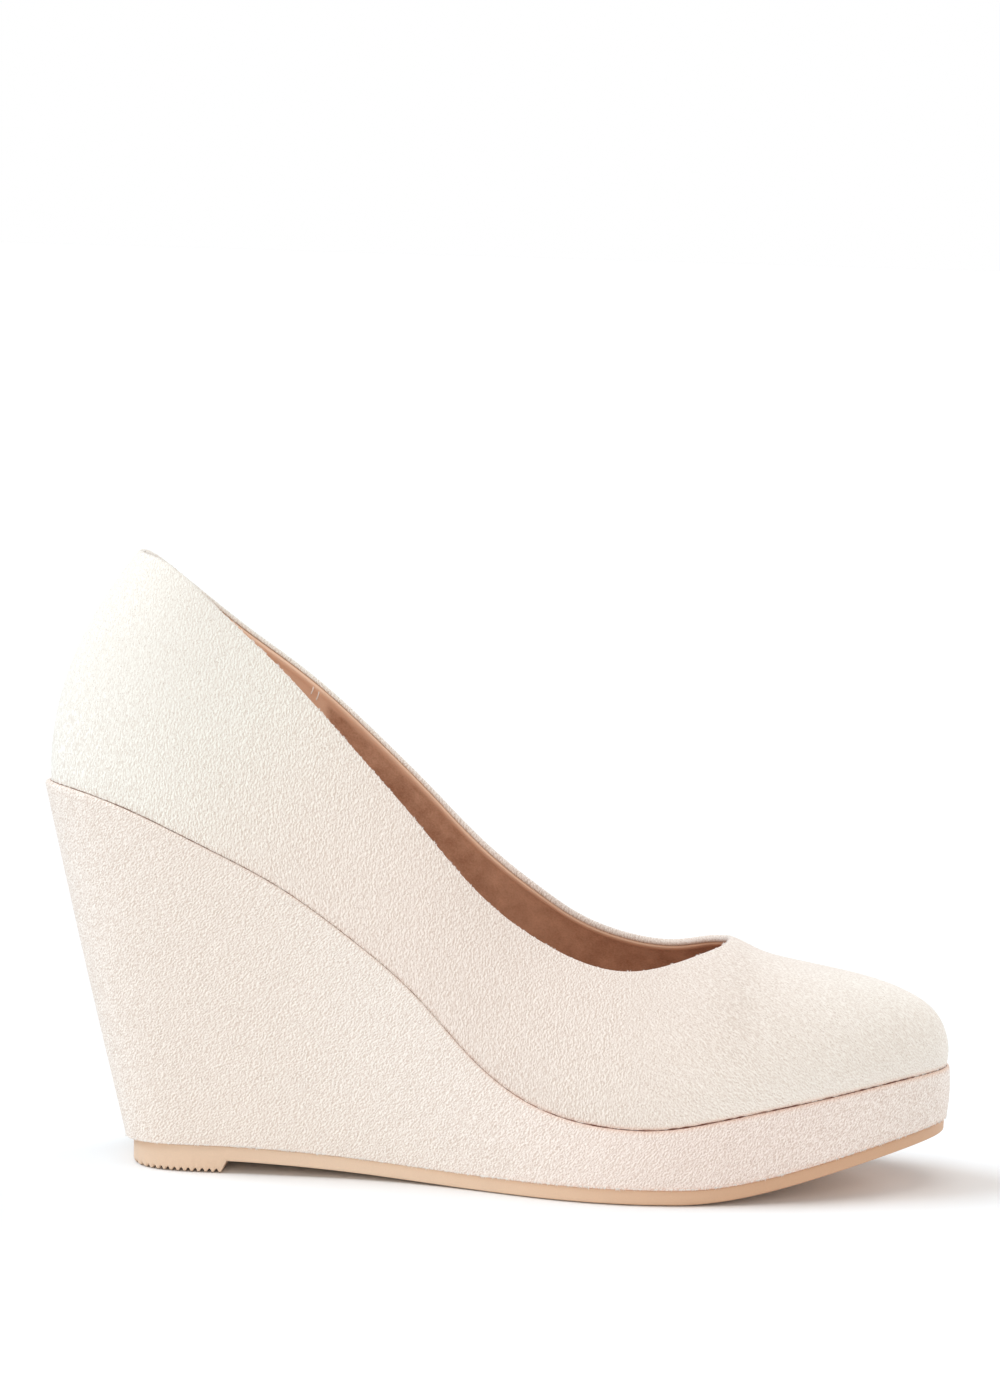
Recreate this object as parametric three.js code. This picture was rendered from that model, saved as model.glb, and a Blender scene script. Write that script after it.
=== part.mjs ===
// Wedge pump: one right shoe of a closed womens court shoe on a covered wedge with a platform.
//
// The shoe stands on its sole with +Z up, the toe towards +X and the inner side of the foot
// towards +Y. The outer side faces -Y. All lengths are millimetres. The origin is on the floor,
// under the middle of the shoe's box.
//
// Every form is worked out from the last, the wooden foot that such a shoe is built on. A station
// is a share of the last's length, 0 at the back of the heel and 1 at the tip of the toe.

import * as THREE from "three";

// Driving dimensions of the last
const LENGTH = 238; // back of the heel to the tip of the toe, along the feather line
const BALL_WIDTH = 80; // across the ball, near the feather line
const INSTEP_HEIGHT = 60; // unit of the ridge's height above the feather line
const SEAT_HEIGHT = 98.0; // floor to the feather line at the back of the heel
const PLATFORM_HEIGHT = 18.7; // floor to the feather line under the ball
const TOE_SPRING = 13.8; // rise of the tread at the tip of the toe

// Upper
const UPPER_WALL = 2.0; // suede, stiffener and lining together
const EDGE_CROWN = 0.5; // height of the folded topline edge's round top
const FEATHER_ROLL = 0.9; // how far the upper swells out above the feather line
const FEATHER_ROLL_HEIGHT = 7; // height above the feather line where it swells most
const BACK_HEIGHT = 61.5; // length unit of the back curve, the heel's quarter height
const BACK_BULGE = 0.065; // backward swell of the back curve, a share of BACK_HEIGHT
const BACK_LEAN = 0.427; // forward lean of the back curve, a share of BACK_HEIGHT
const BACK_REACH = 0.36; // station where the lean of the back has died out
const HEEL_SET_IN = 0.6; // the upper stands this much further inside the wedge's lip at the back

// Wedge
const WEDGE_SET_IN = 23.2; // the wedge's foot stands this far in from the back of the seat
const TOE_OVERHANG = 0.7; // the wedge's foot ends this far in front of the last's toe
const WEDGE_LIP = 1.0; // the covered wedge stands this far proud of the upper
const LIP_ROUND = 1.1; // roundness of that upper edge
const WALL_SWELL = 0.4; // how far the wedge's side swells between its edges
const FOOT_ROUND = 1.3; // roundness of the wedge's bottom edge

// Outsole
const SOLE_THICKNESS = 3.9;
const TOE_THINNING = 0.14; // the sole loses this share of its thickness at the toe
const SOLE_INSET = 0.7; // the outsole is trimmed this far inside the wedge's foot
const SOLE_SET_IN = 2.4; // and at the back of the heel this far
const ARCH_RISE = 3.0; // height of the arch under the waist, and of the heel pad's step
const BACK_DROP = 0.1; // the sole line falls by this share of ARCH_RISE at the heel's back
const PAD_LENGTH = 26; // heel pad on the tread, from its back to its breast
const BREAST_SLOPE = 1.4; // how far the breast leans forward as it rises
const GROOVE_PITCH = 1.85; // from groove to groove across the pad
const GROOVE_DEPTH = 0.8;
const GROOVE_SHARE = 0.7; // a groove takes this share of the pitch, the flat land the rest

// Insole
const INSOLE_THICKNESS = 3.0;

// Clearances between pieces that are cemented together
const SEAT_GAP = 0.35; // under the upper and the insole, on the wedge
const SOLE_GAP = 0.3; // between wedge and outsole
const SIDE_GAP = 0.4; // around the insole, inside the upper

// Fineness of the solids
const COLUMNS = 58; // columns from the heel's back to the toe, on each side
const LEVELS = 14; // levels from the feather line to the topline
const TRAIL_STEPS = 90; // fine steps along one column, before it is divided evenly
const LEVEL_BIAS = 1.25; // levels lie closer to the feather line
const WALL_STEPS = 4; // steps up the wedge's side
const ROUND_MIDDLE = 0.3; // a rounding's middle ring lies this share of its radius off both faces

const OUTER = -1; // outer side of the foot, towards -Y
const INNER = 1; // inner side of the foot, towards +Y

// A table with a name for each column.
function table(names, rows) {
  const columns = {};
  names.split(" ").forEach((name, i) => {
    columns[name] = rows.map((row) => row[i]);
  });
  return columns;
}

// Sections of the last. halfWidth and shift are shares of BALL_WIDTH: half the width of the
// feather line, and how far its middle lies to the inner side. ridge is the height of the last's
// top line above the feather line, a share of INSTEP_HEIGHT. Behind the throat the topline cuts
// the last below it. fullness is the exponent of the section, 2 for an ellipse and more for
// squarer shoulders.
const LAST = table("station halfWidth shift ridge fullness", [
  [0.0, 0.0, 0.0, 1.53, 2.0],
  [0.02, 0.158, 0.0, 1.545, 2.0],
  [0.07, 0.272, 0.0, 1.58, 2.0],
  [0.15, 0.337, -0.002, 1.58, 2.0],
  [0.27, 0.336, -0.008, 1.48, 2.0],
  [0.4, 0.35, -0.012, 1.23, 2.0],
  [0.52, 0.415, -0.006, 0.98, 2.05],
  [0.63, 0.49, 0.006, 0.845, 2.1],
  [0.73, 0.502, 0.024, 0.735, 2.15],
  [0.765, 0.4873, 0.0321, 0.676, 2.172],
  [0.79, 0.4707, 0.0379, 0.6, 2.187],
  [0.82, 0.445, 0.045, 0.551, 2.2],
  [0.9, 0.345, 0.062, 0.432, 2.2],
  [0.96, 0.222, 0.072, 0.312, 2.2],
  [0.99, 0.115, 0.076, 0.192, 2.2],
  [1.0, 0.0, 0.077, 0.0, 2.2],
]);

// Side view of the feather line. heel is a share of the seat's height above the platform, spring
// a share of TOE_SPRING.
const SEAT = table("station heel spring", [
  [0.0, 1.0, 0.0],
  [0.05, 0.988, 0.0],
  [0.12, 0.929, 0.0],
  [0.2, 0.826, 0.0],
  [0.28, 0.706, 0.0],
  [0.36, 0.545, 0.0],
  [0.43, 0.376, 0.0],
  [0.49, 0.195, 0.0],
  [0.54, 0.085, 0.0],
  [0.59, 0.027, 0.0],
  [0.64, 0.004, 0.0],
  [0.69, 0.0, 0.009],
  [0.76, 0.0, 0.202],
  [0.86, 0.0, 0.533],
  [0.94, 0.0, 0.787],
  [1.0, 0.0, 0.89],
]);

// Topline. Each column of the upper runs from the feather line at station to the topline at
// reach. outer and inner say how high it ends there on either side, a share of the ridge.
const TOPLINE = table("station reach outer inner", [
  [0.0, 0.0, 0.672, 0.672],
  [0.03, 0.03, 0.66, 0.64],
  [0.08, 0.08, 0.649, 0.597],
  [0.15, 0.15, 0.634, 0.568],
  [0.25, 0.25, 0.61, 0.568],
  [0.35, 0.35, 0.595, 0.602],
  [0.45, 0.45, 0.626, 0.68],
  [0.52, 0.52, 0.706, 0.801],
  [0.6, 0.578, 0.747, 0.821],
  [0.68, 0.64, 0.771, 0.816],
  [0.76, 0.692, 0.846, 0.848],
  [0.84, 0.727, 0.921, 0.914],
  [0.91, 0.748, 0.969, 0.957],
  [0.96, 0.757, 0.992, 0.984],
  [1.0, 0.76, 1.0, 1.0],
]);
const FAN_START = 0.52; // in front of this station the columns fan out to the throat

// Outline of the wedge's foot, and of the outsole under it, as shares of its own length from
// heel to toe and of BALL_WIDTH.
const FOOT = table("station halfWidth shift", [
  [0.0, 0.0, 0.0],
  [0.004, 0.16, 0.0],
  [0.01, 0.225, 0.0],
  [0.02, 0.272, 0.0],
  [0.04, 0.312, 0.0],
  [0.07, 0.332, 0.0],
  [0.12, 0.331, -0.002],
  [0.2, 0.325, -0.006],
  [0.3, 0.325, -0.012],
  [0.42, 0.392, -0.016],
  [0.52, 0.485, -0.014],
  [0.61, 0.53, -0.006],
  [0.7, 0.519, 0.014],
  [0.8, 0.447, 0.045],
  [0.89, 0.345, 0.064],
  [0.95, 0.238, 0.074],
  [0.985, 0.13, 0.08],
  [1.0, 0.0, 0.08],
]);

// Length of the wedge's foot, and the stations of the sole line along it.
const FOOT_LENGTH = LENGTH + TOE_OVERHANG - WEDGE_SET_IN;
const ARCH_START = 0.12;
const ARCH_END = 0.46;
const SPRING_START = 0.68;
const SPRING_SWING = 0.8; // the toe spring follows this share of a half swing of a cosine

// The angle of a station. Equal steps of it crowd the sections towards heel and toe, where the
// outline turns, and a half width that falls to nothing there is smooth in it.
function angleOf(station) {
  const share = Math.min(1, Math.max(0, station));
  return Math.acos(1 - 2 * share);
}

function stationOf(angle) {
  return (1 - Math.cos(angle)) / 2;
}

// A natural cubic spline through the values of a column, over the angle of their stations. An end
// is level where the form runs on across the middle of the shoe without a crease.
function along(columns, name, start, end) {
  const at = columns.station.map(angleOf);
  const values = columns[name];
  const last = at.length - 1;
  const span = at.slice(1).map((angle, i) => angle - at[i]);
  const rise = span.map((width, i) => (values[i + 1] - values[i]) / width);
  const under = new Array(last + 1).fill(0);
  const middle = new Array(last + 1).fill(1);
  const over = new Array(last + 1).fill(0);
  const right = new Array(last + 1).fill(0);
  for (let i = 1; i < last; i += 1) {
    under[i] = span[i - 1];
    middle[i] = 2 * (span[i - 1] + span[i]);
    over[i] = span[i];
    right[i] = 6 * (rise[i] - rise[i - 1]);
  }
  if (start === "level") {
    middle[0] = 2 * span[0];
    over[0] = span[0];
    right[0] = 6 * rise[0];
  }
  if (end === "level") {
    middle[last] = 2 * span[last - 1];
    under[last] = span[last - 1];
    right[last] = -6 * rise[last - 1];
  }
  for (let i = 1; i <= last; i += 1) {
    const factor = under[i] / middle[i - 1];
    middle[i] -= factor * over[i - 1];
    right[i] -= factor * right[i - 1];
  }
  const bend = new Array(last + 1).fill(0);
  bend[last] = right[last] / middle[last];
  for (let i = last - 1; i >= 0; i -= 1) {
    bend[i] = (right[i] - over[i] * bend[i + 1]) / middle[i];
  }
  return (station) => {
    const angle = angleOf(station);
    let i = 0;
    while (i < last - 1 && angle > at[i + 1]) {
      i += 1;
    }
    const before = angle - at[i];
    const after = at[i + 1] - angle;
    const width = span[i];
    const curved = (bend[i] * after ** 3 + bend[i + 1] * before ** 3) / (6 * width);
    const fromLeft = (values[i] / width - (bend[i] * width) / 6) * after;
    const fromRight = (values[i + 1] / width - (bend[i + 1] * width) / 6) * before;
    return curved + fromLeft + fromRight;
  };
}

const last = {
  halfWidth: along(LAST, "halfWidth", "free", "free"),
  shift: along(LAST, "shift", "level", "level"),
  ridge: along(LAST, "ridge", "level", "free"),
  fullness: along(LAST, "fullness", "level", "level"),
};
const seat = {
  heel: along(SEAT, "heel", "level", "level"),
  spring: along(SEAT, "spring", "level", "free"),
};
const topline = {
  reach: along(TOPLINE, "reach", "level", "level"),
  outer: along(TOPLINE, "outer", "level", "level"),
  inner: along(TOPLINE, "inner", "level", "level"),
};
const foot = {
  halfWidth: along(FOOT, "halfWidth", "free", "free"),
  shift: along(FOOT, "shift", "level", "level"),
};

// Height of the feather line, where upper and insole sit on the wedge, at x from the heel's back.
function seatHeight(x) {
  const station = x / LENGTH;
  const heel = (SEAT_HEIGHT - PLATFORM_HEIGHT) * seat.heel(station);
  return PLATFORM_HEIGHT + heel + TOE_SPRING * seat.spring(station);
}

// Height of the outsole's underside without the heel pad, at a station of the wedge's foot.
function underHeight(station) {
  if (station < ARCH_START) {
    return ARCH_RISE * (1 - BACK_DROP * (1 - station / ARCH_START) ** 2);
  }
  if (station < ARCH_END) {
    const fall = (station - ARCH_START) / (ARCH_END - ARCH_START);
    return (ARCH_RISE * (1 + Math.cos(Math.PI * fall))) / 2;
  }
  if (station < SPRING_START) {
    return 0;
  }
  const forward = (station - SPRING_START) / (1 - SPRING_START);
  const swing = Math.PI * SPRING_SWING;
  return (TOE_SPRING * (1 - Math.cos(swing * forward))) / (1 - Math.cos(swing));
}

function footStation(x) {
  return (x - WEDGE_SET_IN) / FOOT_LENGTH;
}

// Height of the joint between wedge and outsole.
function soleHeight(x) {
  const station = Math.min(1, Math.max(0, footStation(x)));
  const forward = Math.max(0, station - SPRING_START) / (1 - SPRING_START);
  return underHeight(station) + SOLE_THICKNESS * (1 - TOE_THINNING * forward);
}

// The stations and sides once around the shoe: heel, outer side, toe, inner side.
function around() {
  const places = [];
  for (let k = 0; k < 2 * COLUMNS; k += 1) {
    const angle = (Math.PI * k) / COLUMNS;
    places.push({ station: stationOf(angle), side: k <= COLUMNS ? OUTER : INNER });
  }
  return places;
}

// Point of the feather line in plan.
function featherPoint(station, side) {
  const y = BALL_WIDTH * (last.shift(station) + side * last.halfWidth(station));
  return new THREE.Vector2(LENGTH * station, y);
}

// Point of the outline of the wedge's foot in plan.
function footPoint(station, side) {
  const y = BALL_WIDTH * (foot.shift(station) + side * foot.halfWidth(station));
  return new THREE.Vector2(WEDGE_SET_IN + FOOT_LENGTH * station, y);
}

// Outward directions in plan along a closed loop of points that turns anticlockwise.
function outwardOf(loop) {
  return loop.map((point, k) => {
    const next = loop[(k + 1) % loop.length];
    const before = loop[(k + loop.length - 1) % loop.length];
    const run = next.clone().sub(before).normalize();
    return new THREE.Vector2(run.y, -run.x);
  });
}

// The loop moved outwards by a distance, or inwards where it is negative.
function grown(loop, distance) {
  const outward = outwardOf(loop);
  return loop.map((point, k) => point.clone().addScaledVector(outward[k], distance));
}

// How much a place at x belongs to the back: 1 at the very back, fading out along the length.
function backShare(x) {
  return Math.max(0, 1 - x / (BACK_REACH * LENGTH)) ** 2;
}

// How the back of the upper curves at a rise above the feather line: it stands a little inside
// the wedge's lip, swells back and then leans forward.
function backCurve(rise, x) {
  const share = rise / BACK_HEIGHT;
  const lean = BACK_HEIGHT * (BACK_LEAN * share ** 2 - BACK_BULGE * share);
  return (HEEL_SET_IN + lean) * backShare(x);
}

// Point of the last's surface at x, at a level from 0 on the feather line to 1 on the ridge. The
// section is half of a superellipse that stands on the feather line.
function lastPoint(x, level, side) {
  const station = x / LENGTH;
  const power = last.fullness(station);
  const rise = INSTEP_HEIGHT * last.ridge(station) * level;
  const narrow = Math.max(0, 1 - level ** power) ** (1 / power);
  const y = BALL_WIDTH * (last.shift(station) + side * last.halfWidth(station) * narrow);
  return new THREE.Vector3(x + backCurve(rise, x), y, seatHeight(x) + rise);
}

// Level of the last's surface over a point in plan.
function levelOver(x, y) {
  const station = x / LENGTH;
  const power = last.fullness(station);
  const half = BALL_WIDTH * last.halfWidth(station);
  const share = Math.min(1, Math.abs(y - BALL_WIDTH * last.shift(station)) / half);
  return (1 - share ** power) ** (1 / power);
}

// Swell of the upper just above the feather line, outwards. The straight back has none.
function featherRoll(rise, x) {
  const share = rise / FEATHER_ROLL_HEIGHT;
  return FEATHER_ROLL * share * Math.exp(1 - share) * (1 - backShare(x));
}

// A column of the upper's outer face, from the feather line to the topline, in fine steps.
function trail(place, outward) {
  const { station, side } = place;
  const start = featherPoint(station, side);
  const reach = LENGTH * topline.reach(station);
  const edge = Math.min(1, side === OUTER ? topline.outer(station) : topline.inner(station));
  const crown = EDGE_CROWN * Math.sqrt(1 - edge ** 2); // it stands less where the wall lies flat
  const top = edge - crown / (INSTEP_HEIGHT * last.ridge(reach / LENGTH));
  const end = lastPoint(reach, top, side);
  const points = [];
  for (let i = 0; i <= TRAIL_STEPS; i += 1) {
    const share = i / TRAIL_STEPS;
    let point;
    let ground;
    if (station <= FAN_START) {
      point = lastPoint(start.x, top * share, side);
      ground = seatHeight(start.x);
    } else {
      const x = THREE.MathUtils.lerp(start.x, end.x, share ** 2);
      const y = THREE.MathUtils.lerp(start.y, end.y, share ** 2);
      const level = i === 0 ? 0 : levelOver(x, y);
      ground = seatHeight(x);
      const rise = INSTEP_HEIGHT * last.ridge(x / LENGTH) * level;
      point = new THREE.Vector3(x, y, ground + rise);
    }
    const roll = featherRoll(point.z - ground, start.x);
    point.x += roll * outward.x;
    point.y += roll * outward.y;
    points.push(point);
  }
  return points;
}

// The trail divided into levels by its length, closer together near the feather line.
function divided(points) {
  const run = [0];
  for (let i = 1; i < points.length; i += 1) {
    run.push(run[i - 1] + points[i].distanceTo(points[i - 1]));
  }
  const levels = [];
  let i = 1;
  for (let j = 0; j <= LEVELS; j += 1) {
    const wanted = run[run.length - 1] * (j / LEVELS) ** LEVEL_BIAS;
    while (i < points.length - 1 && run[i] < wanted) {
      i += 1;
    }
    const share = Math.min(1, (wanted - run[i - 1]) / (run[i] - run[i - 1]));
    levels.push(points[i - 1].clone().lerp(points[i], share));
  }
  return levels;
}

// A closed body from rings of equally many points. Rings follow each other upwards on the
// outside. With caps the ends are closed by rungs across the shoe, else the last ring joins the
// first and the body is a hoop.
function body(rings, capped) {
  const count = rings[0].length;
  const positions = rings.flat().flatMap((point) => [point.x, point.y, point.z]);
  const index = [];
  const joins = capped ? rings.length - 1 : rings.length;
  for (let j = 0; j < joins; j += 1) {
    const low = j * count;
    const high = ((j + 1) % rings.length) * count;
    for (let k = 0; k < count; k += 1) {
      const next = (k + 1) % count;
      index.push(low + k, low + next, high + next);
      index.push(low + k, high + next, high + k);
    }
  }
  if (capped) {
    const top = (rings.length - 1) * count;
    for (let k = 0; k < count / 2; k += 1) {
      const across = (count - k) % count;
      const nextAcross = count - k - 1;
      if (nextAcross !== k + 1) {
        index.push(top + k, top + k + 1, top + nextAcross);
        index.push(k, nextAcross, k + 1);
      }
      if (across !== k) {
        index.push(top + k, top + nextAcross, top + across);
        index.push(k, across, nextAcross);
      }
    }
  }
  const geometry = new THREE.BufferGeometry();
  geometry.setAttribute("position", new THREE.Float32BufferAttribute(positions, 3));
  geometry.setIndex(index);
  geometry.computeVertexNormals();
  return geometry;
}

// A ring at heights that follow a function of x.
function raised(loop, height) {
  return loop.map((point) => new THREE.Vector3(point.x, point.y, height(point.x)));
}

const places = around();
const featherLoop = places.map((place) => featherPoint(place.station, place.side));
const footLoop = places.map((place) => footPoint(place.station, place.side));

// The upper: outer face, folded edge, inner face. Its bottom rim stands on the wedge.
function upperGeometry() {
  const outward = outwardOf(featherLoop);
  const columns = places.map((place, k) => divided(trail(place, outward[k])));
  const count = columns.length;
  const inside = columns.map((column, k) => {
    const next = columns[(k + 1) % count];
    const before = columns[(k + count - 1) % count];
    return column.map((point, j) => {
      if (j === 0) {
        const inset = featherLoop[k].clone().addScaledVector(outward[k], -UPPER_WALL);
        inset.x += backCurve(0, featherLoop[k].x);
        return new THREE.Vector3(inset.x, inset.y, seatHeight(inset.x));
      }
      const run = next[j].clone().sub(before[j]);
      const climb = column[Math.min(j + 1, LEVELS)].clone().sub(column[j - 1]);
      return point.clone().addScaledVector(run.cross(climb).normalize(), -UPPER_WALL);
    });
  });
  const rings = [];
  for (let j = 0; j <= LEVELS; j += 1) {
    rings.push(columns.map((column) => column[j]));
  }
  rings.push(
    columns.map((column, k) => {
      const climb = column[LEVELS].clone().sub(column[LEVELS - 1]).normalize();
      const middle = column[LEVELS].clone().lerp(inside[k][LEVELS], 0.5);
      return middle.addScaledVector(climb, EDGE_CROWN);
    }),
  );
  for (let j = LEVELS; j >= 0; j -= 1) {
    rings.push(inside.map((column) => column[j]));
  }
  const lifted = rings.map((ring) => ring.map((point) => point.clone()));
  [lifted[0], lifted[lifted.length - 1]].forEach((ring) => {
    ring.forEach((point) => {
      point.z += SEAT_GAP;
    });
  });
  return body(lifted, false);
}

// The covered wedge: foot outline below, seat above, straight lines between them.
function wedgeGeometry() {
  const lip = raised(grown(featherLoop, WEDGE_LIP), (x) => seatHeight(x) - LIP_ROUND);
  const wall = raised(footLoop, (x) => soleHeight(x) + FOOT_ROUND);
  const rings = [
    raised(grown(footLoop, -FOOT_ROUND), soleHeight),
    raised(
      grown(footLoop, -ROUND_MIDDLE * FOOT_ROUND),
      (x) => soleHeight(x) + ROUND_MIDDLE * FOOT_ROUND,
    ),
  ];
  const outward = outwardOf(featherLoop);
  for (let i = 0; i <= WALL_STEPS; i += 1) {
    const swell = WALL_SWELL * Math.sin((Math.PI * i) / WALL_STEPS);
    rings.push(
      wall.map((point, k) => {
        const ruled = point.clone().lerp(lip[k], i / WALL_STEPS);
        ruled.x += swell * outward[k].x;
        ruled.y += swell * outward[k].y;
        return ruled;
      }),
    );
  }
  rings.push(
    raised(
      grown(featherLoop, WEDGE_LIP - ROUND_MIDDLE * LIP_ROUND),
      (x) => seatHeight(x) - ROUND_MIDDLE * LIP_ROUND,
    ),
  );
  rings.push(raised(grown(featherLoop, WEDGE_LIP - LIP_ROUND), seatHeight));
  return body(rings, true);
}

// The stations of the outsole: even steps of the angle, and every edge of the pad's grooves.
function soleStations(start, end) {
  const marks = [];
  const breast = start + PAD_LENGTH;
  const land = (1 - GROOVE_SHARE) * GROOVE_PITCH;
  const grooveCount = Math.floor((PAD_LENGTH - land) / GROOVE_PITCH);
  const firstGroove = breast - grooveCount * GROOVE_PITCH;
  for (let i = 0; i <= COLUMNS; i += 1) {
    const x = start + (end - start) * stationOf((Math.PI * i) / COLUMNS);
    if (x < firstGroove - land / 2 || x > breast + BREAST_SLOPE + land) {
      marks.push({ x, cut: 0, onPad: x < breast });
    }
  }
  for (let i = 0; i < grooveCount; i += 1) {
    const x = firstGroove + i * GROOVE_PITCH;
    marks.push({ x, cut: 0, onPad: true });
    marks.push({ x: x + (GROOVE_SHARE / 2) * GROOVE_PITCH, cut: GROOVE_DEPTH, onPad: true });
    marks.push({ x: x + GROOVE_SHARE * GROOVE_PITCH, cut: 0, onPad: true });
  }
  marks.push({ x: breast, cut: 0, onPad: true });
  marks.push({ x: breast + BREAST_SLOPE, cut: 0, onPad: false });
  return marks.sort((a, b) => a.x - b.x);
}

// The outsole: one rubber unit with a grooved heel pad, an arch and a sprung toe.
function outsoleGeometry() {
  const start = WEDGE_SET_IN + SOLE_SET_IN;
  const end = WEDGE_SET_IN + FOOT_LENGTH - SOLE_INSET;
  const marks = soleStations(start, end);
  const count = marks.length - 1;
  const loop = [];
  for (let k = 0; k < 2 * count; k += 1) {
    const mark = marks[k <= count ? k : 2 * count - k];
    const side = k <= count ? OUTER : INNER;
    const station = (mark.x - start) / (end - start);
    const half = BALL_WIDTH * foot.halfWidth(station) - SOLE_INSET * Math.sin(angleOf(station));
    const y = BALL_WIDTH * foot.shift(footStation(mark.x)) + side * half;
    loop.push({ ...mark, y });
  }
  const under = loop.map((point) => {
    const z = point.onPad ? point.cut : underHeight(footStation(point.x));
    return new THREE.Vector3(point.x, point.y, z);
  });
  const over = loop.map((point) => {
    return new THREE.Vector3(point.x, point.y, soleHeight(point.x) - SOLE_GAP);
  });
  return body([under, over], true);
}

// The insole with its sock, inside the upper.
function insoleGeometry() {
  const loop = grown(featherLoop, -(UPPER_WALL + SIDE_GAP));
  loop.forEach((point) => {
    point.x += backCurve(0, point.x);
  });
  const low = raised(loop, (x) => seatHeight(x) + SEAT_GAP);
  const high = raised(loop, (x) => seatHeight(x) + SEAT_GAP + INSOLE_THICKNESS);
  return body([low, high], true);
}

function piece(name, geometry, color, roughness) {
  const material = new THREE.MeshStandardMaterial({ color, roughness, metalness: 0 });
  const mesh = new THREE.Mesh(geometry, material);
  mesh.name = name;
  return mesh;
}

const pump = new THREE.Group();
pump.add(piece("outsole", outsoleGeometry(), 0xdcb88f, 0.6));
pump.add(piece("wedge", wedgeGeometry(), 0xeaddd1, 0.95));
pump.add(piece("upper", upperGeometry(), 0xeaddd1, 0.95));
pump.add(piece("insole", insoleGeometry(), 0xa87a5e, 0.7));

// The origin goes under the middle of the box.
const box = new THREE.Box3().setFromObject(pump);
const centre = box.getCenter(new THREE.Vector3());
pump.position.set(-centre.x, -centre.y, -box.min.z);
pump.updateMatrixWorld(true);

export default pump;
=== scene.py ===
# %% [markdown]
# # A wedge pump, dressed around its CAD solids
#
# The shoe is a closed court shoe of cream imitation suede on a covered wedge with a platform. The
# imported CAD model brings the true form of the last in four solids. This lesson keeps their form and
# makes what a step closer shows: the suede folded over at the topline, the brown lining behind it,
# the stitches, the thin dark line where upper and wedge meet, and the grooved tan outsole.

# %% The frame and the tools
import math

import bpy
import numpy as np
from mathutils import Matrix, Vector


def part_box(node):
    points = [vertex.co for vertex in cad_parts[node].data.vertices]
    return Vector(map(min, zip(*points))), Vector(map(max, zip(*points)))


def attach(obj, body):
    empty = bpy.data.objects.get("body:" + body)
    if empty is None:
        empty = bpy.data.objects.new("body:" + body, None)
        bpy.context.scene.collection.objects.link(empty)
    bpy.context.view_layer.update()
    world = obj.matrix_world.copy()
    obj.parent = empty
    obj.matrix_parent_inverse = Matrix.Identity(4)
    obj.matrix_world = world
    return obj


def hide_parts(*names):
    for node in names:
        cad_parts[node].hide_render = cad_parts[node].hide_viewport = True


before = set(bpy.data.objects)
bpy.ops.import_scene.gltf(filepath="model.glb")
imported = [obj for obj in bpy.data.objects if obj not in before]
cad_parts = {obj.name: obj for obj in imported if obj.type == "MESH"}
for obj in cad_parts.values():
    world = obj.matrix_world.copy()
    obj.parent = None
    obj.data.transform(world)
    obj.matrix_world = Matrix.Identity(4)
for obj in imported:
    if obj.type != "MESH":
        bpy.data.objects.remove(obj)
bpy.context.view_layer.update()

rng = np.random.default_rng(7)

# %% [markdown]
# ## The last in numbers
#
# A shoe is built on a last, a solid foot of wood or plastic. Its forms could be drawn point by
# point, but a shoemaker thinks in sections: at each station along the length there is a width, a
# height of the ridge, and a fullness of the shoulder. So does this file. A station is a share of
# the length, and each table has a row for each station. A cubic spline runs through every column.

# %% Named sizes, in millimetres
LENGTH = 238.0
BALL_WIDTH = 80.0
INSTEP_HEIGHT = 60.0
SEAT_HEIGHT = 98.0
PLATFORM_HEIGHT = 18.7
TOE_SPRING = 13.8
UPPER_WALL = 2.0
FEATHER_ROLL = 0.9
FEATHER_ROLL_HEIGHT = 7.0
BACK_HEIGHT = 61.5
BACK_BULGE = 0.065
BACK_LEAN = 0.427
BACK_REACH = 0.36
HEEL_SET_IN = 0.6
FAN_START = 0.52
WEDGE_SET_IN = 23.2
TOE_OVERHANG = 0.7
FOOT_LENGTH = LENGTH + TOE_OVERHANG - WEDGE_SET_IN
OUTER, INNER = -1, 1

# %% The tables
LAST = np.array(
    [  # station, half width, shift, ridge, fullness
        [0.00, 0.000, 0.000, 1.530, 2.00],
        [0.02, 0.158, 0.000, 1.545, 2.00],
        [0.07, 0.272, 0.000, 1.580, 2.00],
        [0.15, 0.337, -0.002, 1.580, 2.00],
        [0.27, 0.336, -0.008, 1.480, 2.00],
        [0.40, 0.350, -0.012, 1.230, 2.00],
        [0.52, 0.415, -0.006, 0.980, 2.05],
        [0.63, 0.490, 0.006, 0.845, 2.10],
        [0.73, 0.502, 0.024, 0.735, 2.15],
        [0.765, 0.4873, 0.0321, 0.672, 2.172],
        [0.79, 0.4707, 0.0379, 0.606, 2.187],
        [0.82, 0.445, 0.045, 0.551, 2.20],
        [0.90, 0.345, 0.062, 0.432, 2.20],
        [0.96, 0.222, 0.072, 0.312, 2.20],
        [0.99, 0.115, 0.076, 0.192, 2.20],
        [1.00, 0.000, 0.077, 0.000, 2.20],
    ]
)
SEAT = np.array(
    [  # station, heel, spring
        [0.00, 1.000, 0.000],
        [0.05, 0.988, 0.000],
        [0.12, 0.929, 0.000],
        [0.20, 0.826, 0.000],
        [0.28, 0.706, 0.000],
        [0.36, 0.545, 0.000],
        [0.43, 0.376, 0.000],
        [0.49, 0.195, 0.000],
        [0.54, 0.085, 0.000],
        [0.59, 0.027, 0.000],
        [0.64, 0.004, 0.000],
        [0.69, 0.000, 0.009],
        [0.76, 0.000, 0.202],
        [0.86, 0.000, 0.533],
        [0.94, 0.000, 0.787],
        [1.00, 0.000, 0.890],
    ]
)
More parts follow.
